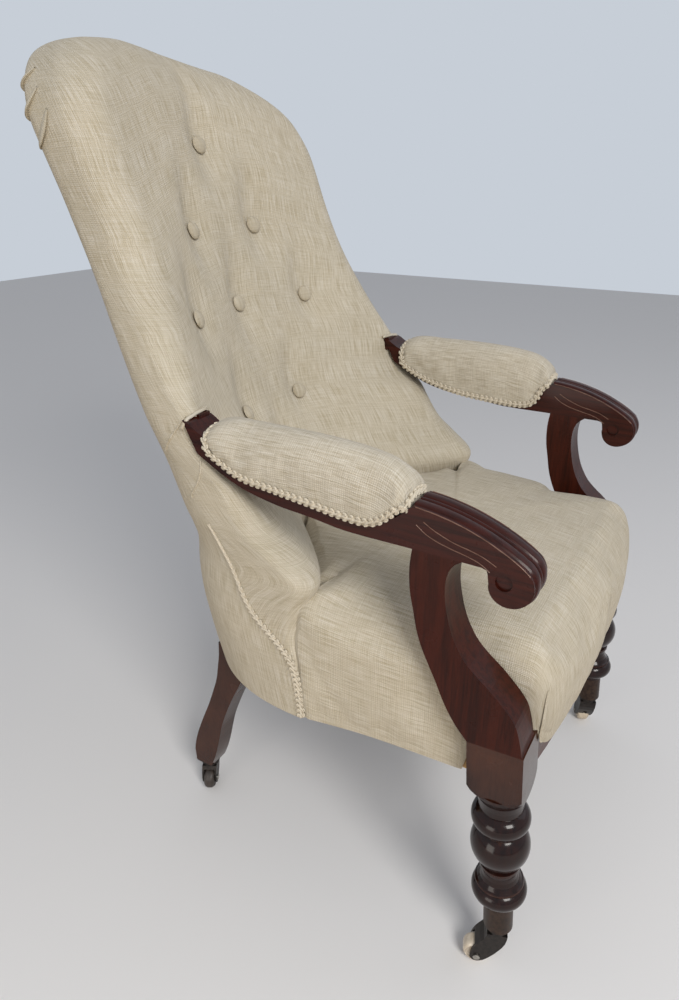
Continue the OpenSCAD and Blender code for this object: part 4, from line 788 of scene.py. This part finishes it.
# Close the crown with a fan of faces round its middle
bm = bmesh.new()
bm.from_mesh(seat.data)
bm.verts.ensure_lookup_table()
last = bm.verts[-len(loop) :]
centre = bm.verts.new((0, MIDDLE_Y / 1000, SEAT_H / 1000))
for one, other in zip(last, last[1:] + last[:1]):
    bm.faces.new((one, other, centre))
bm.to_mesh(seat.data)
bm.free()
seat.data.update()
face_away(seat, lambda place: (0, MIDDLE_Y / 1000, 0.40))
print("seat", len(seat.data.polygons), "faces")

# %% [markdown]
# The seat's weave is laid out as if the cover fell over the edges of a box: flat on top and on
# down each wall. Then the cover is puffed, pinned at its hem and notches.

# %% Finish the seat
BOX_EDGE = 0.480

co, no = read_vertices(seat), read_vertices(seat, "normal")
fall = np.maximum(0, BOX_EDGE - co[:, 2])
sideways = np.clip(no[:, 0] ** 2 / np.maximum(no[:, 0] ** 2 + no[:, 1] ** 2, 1e-6), 0, 1)
u = co[:, 0] + np.sign(co[:, 0]) * fall * sideways
v = co[:, 1] + np.sign(co[:, 1] - MIDDLE_Y / 1000) * fall * (1 - sideways)
lay_cloth(seat, np.stack([u, v], axis=1))
pins = (np.abs(co[:, 0]) > 0.225) & (np.abs(co[:, 1] + 0.285) < 0.055) & (co[:, 2] < 0.47)
pins[: len(loop) * 2] = True
puff(seat, pins, 1.5, 0.005)
smooth(seat)
stand_for(seat, "cover_cloth", "seat_cover", "seat_stuffing")
print("seat's pinned points", int(pins.sum()))

# %% [markdown]
# Each arm pad is a sausage of stuffing over the flat of the arm, tucked down at its two ends. Its
# lower edges follow the arm's wood, so they are read off as curves too.

# %% The arm pads' measures
ARM_X, UNDER_Z, PAD_TOP_Z = 262.75, 604.0, 696
PAD_FRONT, PAD_REAR = -203.0, 60.0
low_out = curve_through(
    [-212, -202, -188, -168, -130, -86, -32, 9, 45, 80], [49, 42, 27, 15, 15, 20, 26, 31, 48, 68]
)
low_in = curve_through(
    [-212, -202, -190, -165, -110, -56, 1, 45, 80], [49, 40, 12, 3, 4, 8, 20, 38, 62]
)
top_curve = curve_through(
    [-212, -206, -200, -188, -171, -147, -111, -73, 0, 27, 41, 51, 61],
    [-38, -28, -21, -12, -5, -0.5, 2, 3, 2, 2, 0, -4, -13],
)
# The rows that tuck the cover down against the wood: place, greatest height and share of the width
FRONT_TUCKS = ((1.4, 658.5, 0.97), (0.6, 654, 0.92), (0.3, 647, 0.86))
REAR_TUCKS = ((1.4, 679, 0.97), (1.8, 673, 0.92))


def pad_half_width(e, y):
    """Half the pad's width at share e of its height: sides that lean out, then a round top."""
    if e > 0.4:
        w = 28 * max(0.0, 1 - ((e - 0.4) / 0.6) ** 2.4) ** 0.5
    else:
        w = np.interp(e, [0, 0.18, 0.4], [24.9, 27.5, 28])
    front_end, rear_end = 0.82 + 0.18 * (y - PAD_FRONT) / 12, 0.88 + 0.12 * (PAD_REAR + 1 - y) / 14
    return w * min(1, front_end if y < 0 else rear_end) if e > 0.25 else w


def tucked(row, y, ridge, narrow):
    end = np.array(row)
    end[:, 0] = ARM_X + (end[:, 0] - ARM_X) * narrow
    end[:, 1] = y
    end[:, 2] = np.minimum(end[:, 2], ridge - 0.012 * (end[:, 0] - ARM_X) ** 2)
    return end.tolist()


def pad_points(side):
    turn = np.linspace(0, math.pi / 2, 15)
    pad_y = np.concatenate([
        PAD_FRONT + 2.6 + 40 * (1 - np.cos(turn)), np.linspace(-160, PAD_REAR - 20, 40)[1:-1],
        PAD_REAR - np.array([19, 15, 11, 8, 5, 2.5, 1, 0]),
    ])
    rows = []
    for y in pad_y:
        # The end shapes were measured on a pad 8 mm longer at the front
        ys = y - 8 * min(1, max(0, (-100 - y) / 103))
        top = PAD_TOP_Z + float(top_curve(ys)) + 3.5 * min(1, max(0, (-150 - y) / 53))
        parts = []
        for way, curve in ((-1, low_in), (1, low_out)):
            low = UNDER_Z + float(curve(ys))
            parts.append([
                [ARM_X + way * pad_half_width(e, y), y, low + (top - low) * e]
                for e in np.sin(np.linspace(0, math.pi / 2, 17))
            ])
        rows.append(parts[0] + parts[1][-2::-1])
    for y, ridge, narrow in FRONT_TUCKS:
        rows.insert(0, tucked(rows[0], PAD_FRONT + y, ridge, narrow))
    for y, ridge, narrow in REAR_TUCKS:
        rows.append(tucked(rows[-1], PAD_REAR + y, ridge, narrow))
    grid = np.array(rows)
    return grid if side > 0 else grid[:, ::-1] * [-1, 1, 1]


SIDES = ((-1, "right"), (1, "left"))
for side, word in SIDES:
    grid = pad_points(side)
    pad = cloth_grid(word + "_arm_pad", grid, linen_pad)
    face_away(pad, lambda place, side=side: (side * ARM_X / 1000, place[1], 0.655))
    pins = np.zeros(grid.shape[:2])
    pins[:2] = pins[-2:] = 1
    pins[:, :2] = pins[:, -2:] = 1
    puff(pad, pins.ravel(), 2, 0.003)
    only(pad)
    wall = pad.modifiers.new("cloth_thickness", "SOLIDIFY")
    wall.thickness = 0.0015
    wall.offset = -1
    bpy.ops.object.modifier_apply(modifier=wall.name)
    smooth(pad)
    stand_for(pad, "cover_cloth", word + "_pad_cover", word + "_pad_stuffing")
    print(pad.name, len(pad.data.polygons), "faces")

# %% [markdown]
# Scroll gimp is a braid of two fine cords that wind round each other in loops on a narrow tape,
# and it hides the tacks along an edge. A line is first laid over the cloth, with the ways out and
# along at each point, and each cord is a bevelled curve that swings about that line.


# %% Laying a line over a piece
def surface_of(*pieces):
    corners, faces = [], []
    for piece in pieces:
        faces += [[len(corners) + k for k in face.vertices] for face in piece.data.polygons]
        corners += [vertex.co.copy() for vertex in piece.data.vertices]
    return BVHTree.FromPolygons(corners, faces)


def grid_surface(grid, core):
    """The same for a grid of points round a core line: its faces look away from the core."""
    order = grid_faces(*grid.shape[:2])
    one = grid.reshape(-1, 3)[list(order[len(order) // 2 + grid.shape[1] // 2])]
    if np.dot(np.cross(one[1] - one[0], one[2] - one[0]), one[0] - core) < 0:
        order = [face[::-1] for face in order]
    return BVHTree.FromPolygons([Vector(p) for p in grid.reshape(-1, 3)], order)


def even_line(points, step):
    """The same line with points about step apart."""
    points = np.array(points, float)
    along = np.r_[0, np.cumsum(np.linalg.norm(np.diff(points, axis=0), axis=1))]
    places = np.linspace(0, along[-1], max(2, round(along[-1] / step)) + 1)
    return np.stack([np.interp(places, along, points[:, k]) for k in range(3)], axis=1)


def relaxed(line, times):
    """Inner points move toward their neighbours, so corners become round."""
    for _ in range(times):
        line[1:-1] = (line[:-2] + 2 * line[1:-1] + line[2:]) / 4
    return line


def lay_line(points, surface, step, lift):
    """Points along the line on the surface, with the ways out, along and across."""
    line = relaxed(even_line(points, step), 70)
    spots = np.array([surface.find_nearest(Vector(p))[0] for p in line])
    # Points that fell on one corner of the surface are spread out again
    placed = relaxed(even_line(spots, step), 4)
    ways = np.array([surface.find_nearest(Vector(p))[1] for p in placed])
    for _ in range(14):
        ways[1:-1] = ways[:-2] + 2 * ways[1:-1] + ways[2:]
        ways /= np.linalg.norm(ways, axis=1, keepdims=True)
    ahead = np.gradient(placed, axis=0)
    ahead /= np.linalg.norm(ahead, axis=1, keepdims=True)
    return placed + ways * lift, ways, ahead, np.cross(ways, ahead)


# %% Cords and gimp
GIMP_PITCH, GIMP_WIDTH, GIMP_CORD, LOOP_POINTS = 0.0165, 0.0118, 0.0026, 14


def cord_mesh(name, lines, thickness, material, sides=3, sizes=(1, 1)):
    """Round cords along the lines; sizes are shares of the thickness from start to end."""
    bpy.ops.object.select_all(action="DESELECT")
    bpy.ops.curve.primitive_nurbs_path_add(location=(0, 0, 0))
    piece = bpy.context.object
    piece.name = name
    curve = piece.data
    curve.splines.clear()
    for line in lines:
        spline = curve.splines.new("POLY")
        spline.points.add(len(line) - 1)
        spline.points.foreach_set("co", np.c_[line, np.ones(len(line))].ravel())
        shares = np.linspace(0, 1, len(line))
        radii = np.interp(shares, np.linspace(0, 1, len(sizes)), sizes)
        spline.points.foreach_set("radius", radii)
    curve.dimensions = "3D"
    curve.bevel_depth = thickness / 2
    curve.bevel_resolution = sides - 2
    curve.use_fill_caps = True
    only(piece)
    bpy.ops.object.convert(target="MESH")
    piece.location = (0, 0, 0)
    piece.data.materials.append(material)
    smooth(piece)
    return piece


def gimp(name, points, surface, narrow_to=1.0):
    """Two cords that loop across each other on a tape, stretched narrower toward their end."""
    placed, ways, ahead, across = lay_line(points, surface, GIMP_PITCH / LOOP_POINTS, 0.0008)
    size = 1 + (narrow_to - 1) * ease(np.linspace(-0.4, 0.9, len(placed)))
    turn = np.arange(len(placed)) * 2 * math.pi / LOOP_POINTS
    lines = []
    for phase in (0, math.pi):
        swing = np.sin(turn + phase) * (GIMP_WIDTH - GIMP_CORD) / 2 * size
        # The loops lean back on themselves, as the scallops of real gimp do
        lean = np.sin(2 * (turn + phase)) * GIMP_PITCH * 0.23
        rise = 0.0008 + 0.0007 * np.cos(turn + phase)
        lines.append(
            placed + across * swing[:, None] + ahead * lean[:, None] + ways * rise[:, None]
        )
    lines.append((placed + ways * 0.0012)[::3])
    cords = cord_mesh(name, lines, GIMP_CORD, braid_cotton, sizes=0.35 + 0.65 * size)
    middle = placed[::4] - ways[::4] * 0.0005
    tape_rows = np.stack([middle + across[::4] * w for w in (-0.0032, 0, 0.0032)], axis=1)
    join_to(cords, cloth_grid(name + "_tape", tape_rows * 1000, braid_cotton))
    return cords


# %% [markdown]
# One gimp runs round the border of each pad, and one down each side of the back over the seam
# between the covers, stretched narrow where the seam turns under the arm.

# %% Lay the braids
EDGE_IN, CORNER_IN = 0.0052, 0.0052 * 1.6
FRONT_ROW = 2

for side, word in SIDES:
    grid = pad_points(side) / 1000
    columns = np.linalg.norm(np.diff(grid, axis=1), axis=2)
    along = np.concatenate([np.zeros((len(grid), 1)), np.cumsum(columns, axis=1)], axis=1)

    def at_side(row, distance):
        return [np.interp(distance, along[row], grid[row, :, k]) for k in range(3)]

    rows_y = grid[:, 0, 1]
    rows = np.flatnonzero((rows_y > rows_y[0] + 0.007) & (rows_y < rows_y[-1] - 0.005))
    rear_row = int(np.argmin(np.abs(rows_y - rows_y[-1] + 0.0047)))
    one = [at_side(j, EDGE_IN) for j in rows]
    two = [at_side(j, along[j, -1] - EDGE_IN) for j in rows]
    ends = [
        [at_side(j, d) for d in np.linspace(CORNER_IN, along[j, -1] - CORNER_IN, 12)]
        for j in (rear_row, FRONT_ROW)
    ]
    # The braid starts and ends half way along the pad's inner side, where it isn't seen
    border = one + ends[0] + two[::-1] + ends[1][::-1]
    start = len(one) + len(ends[0]) + len(two) // 2 if side < 0 else len(one) // 2
    border = border[start:] + border[: start + 1]
    pad_surface = grid_surface(grid[2:-2], np.array([side * ARM_X / 1000, -0.08, 0.655]))
    braid = gimp(word + "_pad_gimp", border, pad_surface)
    stand_for(braid, "braid", word + "_pad_braid")
    heights = np.linspace(HEM + 2, 556, 60)
    seam_x, seam_y = rear_place(heights, seam_turn(heights))
    forward = 7 * ease((420 - heights) / 60)
    seam = np.stack([side * seam_x, seam_y - forward, heights], axis=1) / 1000
    braid = gimp(word + "_back_gimp", seam, surface_of(inside_back, outside_back), narrow_to=0.3)
    stand_for(braid, "braid", word + "_back_braid")
    print(word, "braids laid,", len(border), "points round the pad")

# %% [markdown]
# Round a tight corner the spare cloth is laid in pleats: three fan over each top corner at the
# rear, and one folds down each front corner of the seat. Where the cover is cut to pass the arm
# its edges are turned in, as narrow rolls. Both are joined to the finished cover, because folds
# this small are lost in a puffed grid.

# %% Pleats and turned edges
# A pleat's section: shares of its width and height, rising to a sharp edge and back under it
PLEAT_SECTION = (
    (0, -0.3), (0.2, 0.25), (0.45, 0.65), (0.7, 0.9), (0.92, 1), (1, 0.85), (0.94, 0.55),
    (0.8, 0.2), (0.7, -0.3),
)
CORNER_PLEATS = (
    ([(-243, 298, 1026), (-240, 311, 1004), (-236, 322, 984)], 15),
    ([(-240, 320, 1054), (-236, 334, 1034), (-230, 344, 1012)], 14),
    ([(-228, 336, 1082), (-222, 349, 1064), (-214, 357, 1046)], 12),
)
SEAT_PLEAT = [(-229, -361, 440), (-230, -363, 405), (-229, -363, 375), (-228, -361, 351)]
# The edges beside the arm, over its tenon, and below it: points, thickness, and if it is laid
TURNED_EDGES = (
    ([(-284, 90, 700), (-284, 104, 683), (-284, 121, 662), (-284, 140, 640)], 3.2, True),
    ([(-284.5, 94, 682), (-284, 91, 688), (-279, 90.5, 692.5), (-263, 91, 695), (-245, 92, 696),
      (-238, 96, 695)], 5.0, False),
    ([(-284, 72, 645), (-284, 71, 621), (-284, 98, 591), (-284, 120, 565)], 2.6, True),
)


def on_side(side, points):
    return np.array(points) * [-side, 1, 1] / 1000


def pleat(piece, points, width, height):
    placed, ways, _, across = lay_line(points, surface_of(piece), 0.002, 0)
    share = np.linspace(0, 1, len(placed))[:, None]
    swell = np.sin(np.pi * np.clip(0.08 + share * 0.92, 0, 1)) ** 0.6
    rows = [
        placed + across * w * width * swell / 1000 + ways * h * height * swell / 1000
        for w, h in PLEAT_SECTION
    ]
    fold = cloth_grid("pleat", np.stack(rows, axis=1) * 1000, linen_cover)
    middle = fold.data.polygons[len(fold.data.polygons) // 2]
    if middle.normal.dot(Vector(ways[len(ways) // 2])) < 0:
        fold.data.flip_normals()
    smooth(fold, 50)
    join_to(piece, fold)


def turned_edge(piece, points, thickness, laid):
    if laid:
        placed = lay_line(points, surface_of(piece), 0.003, 0.0002)[0]
    else:
        placed = even_line(points, 0.003)
    roll = cord_mesh("turned_edge", [placed], thickness / 1000, linen_cover, sides=4)
    lay_cloth(roll, read_vertices(roll)[:, 1:])
    join_to(piece, roll)


for side, word in SIDES:
    for line, width in CORNER_PLEATS:
        pleat(inside_back, on_side(side, line), -side * width, 4.6)
    pleat(seat, on_side(side, SEAT_PLEAT), side * 6, 2.4)
    for line, thickness, laid in TURNED_EDGES:
        turned_edge(inside_back, on_side(side, line), thickness, laid)
print("inside back with its pleats", len(inside_back.data.polygons), "faces")

# %% [markdown]
# The carver ran two fine lines along each side of the arm toward the scroll. Each shows as a bright
# thread: a thin tube half sunk in the arm, whose pale tone is a painted highlight of the light along
# the groove. The arm's own mesh stays as it is.

# %% Incised lines on the arms, with painted highlight
ARM_LINES = (
    [(-222, 638), (-230, 633), (-239, 629), (-255, 623), (-271, 620), (-287, 616), (-301, 609)],
    [(-214, 633), (-224, 625), (-239, 619), (-256, 615), (-272, 612), (-285, 608), (-295, 601)],
    # The edge under the reeds, as a painted highlight along it
    [(-212, 652.5), (-230, 650.5), (-250, 646.8), (-270, 641.4), (-290, 634), (-310, 624.5),
     (-325, 615.9), (-335, 607.9)],
)
LINE_WIDTH, ARM_FACE = 0.0011, 22.25
# Pale mahogany tones: a painted highlight along the grooves and the edge under the reeds
highlight_line_wood = polished_mahogany(
    "mahogany_lines_painted_highlight", "#4E352D", "#7C6459", "#96705F", grain_axis=1, roughness=0.22
)
for side, word in SIDES:
    tubes = []
    for x in (side * ARM_X - ARM_FACE, side * ARM_X + ARM_FACE):
        for line in ARM_LINES:
            points = np.array([(x, y, z) for y, z in line]) / 1000
            tubes.append(relaxed(even_line(points, 0.002), 8))
    stand_for(cord_mesh(word + "_arm_lines_painted_highlight", tubes, LINE_WIDTH, highlight_line_wood), "mahogany")
print("lines on the arms", 2 * len(tubes))

# %% [markdown]
# Under the seat and inside the back are jute webbing, hessian and a black bottom cloth. Each
# starts as a copy of its CAD solid, cleaned and given a woven finish. Webs are tacked flat to the
# rails; hessian and bottom cloth are sheets, cut and stretched.


# %% Webbing, hessian and bottom cloth
def coarse_weave(name, pale, dark, thread):
    material, add, look = new_material(name)
    cloth = add("UVMap", uv_map="cloth")
    weave = crossed_threads(add, cloth, thread, Distortion=0.8)
    fray = add("TexNoise", {"Vector": cloth, "Scale": 160, "Detail": 3, "Roughness": 0.6})
    mixed = add("Math", {0: weave, 1: fray}, operation="ADD")
    tone = add("ValToRGB", {"Fac": mixed}, [(0.35, dark), (1.2, pale)])
    bump = add("Bump", {"Height": mixed, "Strength": 0.5, "Distance": 0.0008})
    look({"Base Color": tone, "Normal": bump, "Roughness": 0.92, "Specular IOR Level": 0.15})
    return material


def from_solid(name, node, slot, material, upright=False):
    piece = add_piece(name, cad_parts[node].data.copy(), material)
    bm = bmesh.new()
    bm.from_mesh(piece.data)
    bmesh.ops.remove_doubles(bm, verts=bm.verts, dist=0.00002)
    bmesh.ops.recalc_face_normals(bm, faces=bm.faces)
    bm.to_mesh(piece.data)
    bm.free()
    lay_cloth(piece, read_vertices(piece)[:, [0, 2 if upright else 1]])
    smooth(piece, 30)
    stand_for(piece, slot, node)
    area = sum(face.area for face in piece.data.polygons) / 2
    print(name, "area", round(area, 4), "square metres")
    return piece


jute_web = coarse_weave("woven_jute_webbing", "#B59A6C", "#7C6440", 0.004)
jute_hessian = coarse_weave("woven_jute_hessian", "#AE9468", "#6F5A3A", 0.003)
black_linen = coarse_weave("black_bottom_linen", "#2E2B29", "#161413", 0.0025)
from_solid("seat_webbing_strips", "seat_webbing", "jute", jute_web)
from_solid("back_webbing_strips", "back_webbing", "jute", jute_web, upright=True)
hessian = from_solid("spring_hessian", "seat_hessian", "jute", jute_hessian)
under_cloth = from_solid("black_bottom_cloth", "bottom_cloth", "black_cloth", black_linen)

# %% [markdown]
# A covered button is a domed disc with the cloth crimped round it, pulled in on a twine. Each is a
# sphere cut level and flattened, then turned square to the back: rays cast round its place give
# the slope of the cloth there.

# %% Covered buttons
BUTTON_R, BUTTON_FLAT, BUTTON_LIFT = 0.0125, 0.52, 0.0016
RAYS, RAY_R = 12, 0.02
back_surface = surface_of(inside_back)


def on_back(x, z):
    return back_surface.ray_cast(Vector((x, -0.5, z)), Vector((0, 1, 0)))[0]


buttons = []
for bx, bz in BUTTONS:
    bpy.ops.object.select_all(action="DESELECT")
    bpy.ops.mesh.primitive_uv_sphere_add(
        segments=28, ring_count=16, radius=BUTTON_R, location=(0, 0, 0)
    )
    button = bpy.context.object
    bpy.ops.object.mode_set(mode="EDIT")
    bpy.ops.mesh.select_all(action="SELECT")
    bpy.ops.mesh.bisect(
        plane_co=(0, 0, 0.0002), plane_no=(0, 0, 1), clear_inner=True, use_fill=True
    )
    bpy.ops.mesh.select_all(action="SELECT")
    bpy.ops.transform.resize(value=(1, 1, BUTTON_FLAT))
    bpy.ops.object.mode_set(mode="OBJECT")
    x, z = bx / 1000, bz / 1000
    hit = on_back(x, z)
    angles = [k * 2 * math.pi / RAYS for k in range(RAYS)]
    around = [on_back(x + RAY_R * math.cos(a), z + RAY_R * math.sin(a)) - hit for a in angles]
    slopes = [around[k].cross(around[(k + 3) % RAYS]) for k in range(RAYS)]
    tilt = sum(slopes, Vector()).normalized()
    if tilt.y > 0:
        tilt = -tilt
    lay_cloth(button, read_vertices(button)[:, :2] + [x, z])
    turn = tilt.to_track_quat("Z", "Y")
    for vertex in button.data.vertices:
        vertex.co = turn @ vertex.co + hit + tilt * BUTTON_LIFT
    buttons.append(button)
only(buttons[0])
for button in buttons:
    button.select_set(True)
bpy.ops.object.join()
buttons = bpy.context.object
buttons.name = "covered_buttons"
buttons.data.materials.append(linen_button)
smooth(buttons, 70)
stand_for(buttons, "cover_cloth", "back_buttons")
print("covered buttons", len(BUTTONS))

# %% [markdown]
# The scene is a wide pale floor, a soft world and large area lamps, as in a small photo studio.
# What the camera and polished things see of floor and wall is set apart from the light they give.

# %% Floor and world
SOFT_SKY = 0.5


def background_rays(add):
    """1 for the rays that show the background: the camera's, and those polish or glass sends on."""
    rays = add("LightPath").outputs
    shown = rays["Is Camera Ray"]
    for more in ("Is Glossy Ray", "Is Transmission Ray"):
        shown = add("Math", {0: shown, 1: rays[more]}, operation="MAXIMUM")
    return shown


bpy.ops.object.select_all(action="DESELECT")
bpy.ops.mesh.primitive_grid_add(x_subdivisions=8, y_subdivisions=8, size=12, location=(0, 0, 0))
floor = bpy.context.object
floor.name = "studio_floor"
material, add, look = new_material("matt_studio_floor")
# The floor is seen as a pale grey; the light that it throws back is that of worn brown boards
tones = {0: background_rays(add), 6: linear("#B5A58F"), 7: linear("#ECEBEB")}
look({"Base Color": add("Mix", tones, data_type="RGBA").outputs[2], "Roughness": 0.8})
floor.data.materials.append(material)

world = bpy.data.worlds.new("studio_world")
bpy.context.scene.world = world
world.use_nodes = True
tree = world.node_tree
add = partial(add_node, tree)
sky = tree.nodes["Background"]
plug(tree, sky, {"Color": linear("#DDE0E6"), "Strength": SOFT_SKY})
# The wall is a plain pale blue-grey
wall = add("Background", {"Color": linear("#C7CED7"), "Strength": 1.0})
either = add("MixShader", {0: background_rays(add), 1: sky, 2: wall})
plug(tree, tree.nodes["World Output"], {"Surface": either})
print("floor and world set")


# %% Lamps
def soft_lamp(name, place, target, size, power, colour):
    bpy.ops.object.light_add(type="AREA", location=place)
    lamp = bpy.context.object
    lamp.name = name
    lamp.data.size = size
    lamp.data.energy = power
    lamp.data.color = linear(colour)[:3]
    x, y, z = [target[i] - place[i] for i in range(3)]
    lamp.rotation_euler = [math.atan2(math.hypot(x, y), -z), 0, math.atan2(y, x) - math.pi / 2]


soft_lamp("window_lamp", (-1.6, -2.0, 2.2), (0, -0.1, 0.45), 1.1, 58, "#FFFCF7")
soft_lamp("low_lamp", (-1.9, 0.2, 0.35), (0, 0, 0.2), 0.8, 6.5, "#FFF9F0")
soft_lamp("fill_lamp", (1.6, -2.2, 2.2), (0, 0, 0.5), 1.8, 6, "#F4F6FF")
print("three soft lamps")

# %% [markdown]
# Cloth may stand a little proud of the frame, but the chair keeps its size.

# %% [markdown]
# The Standard view shows each colour about as it is written.

# %% Finish
bpy.context.scene.view_settings.view_transform = "Standard"
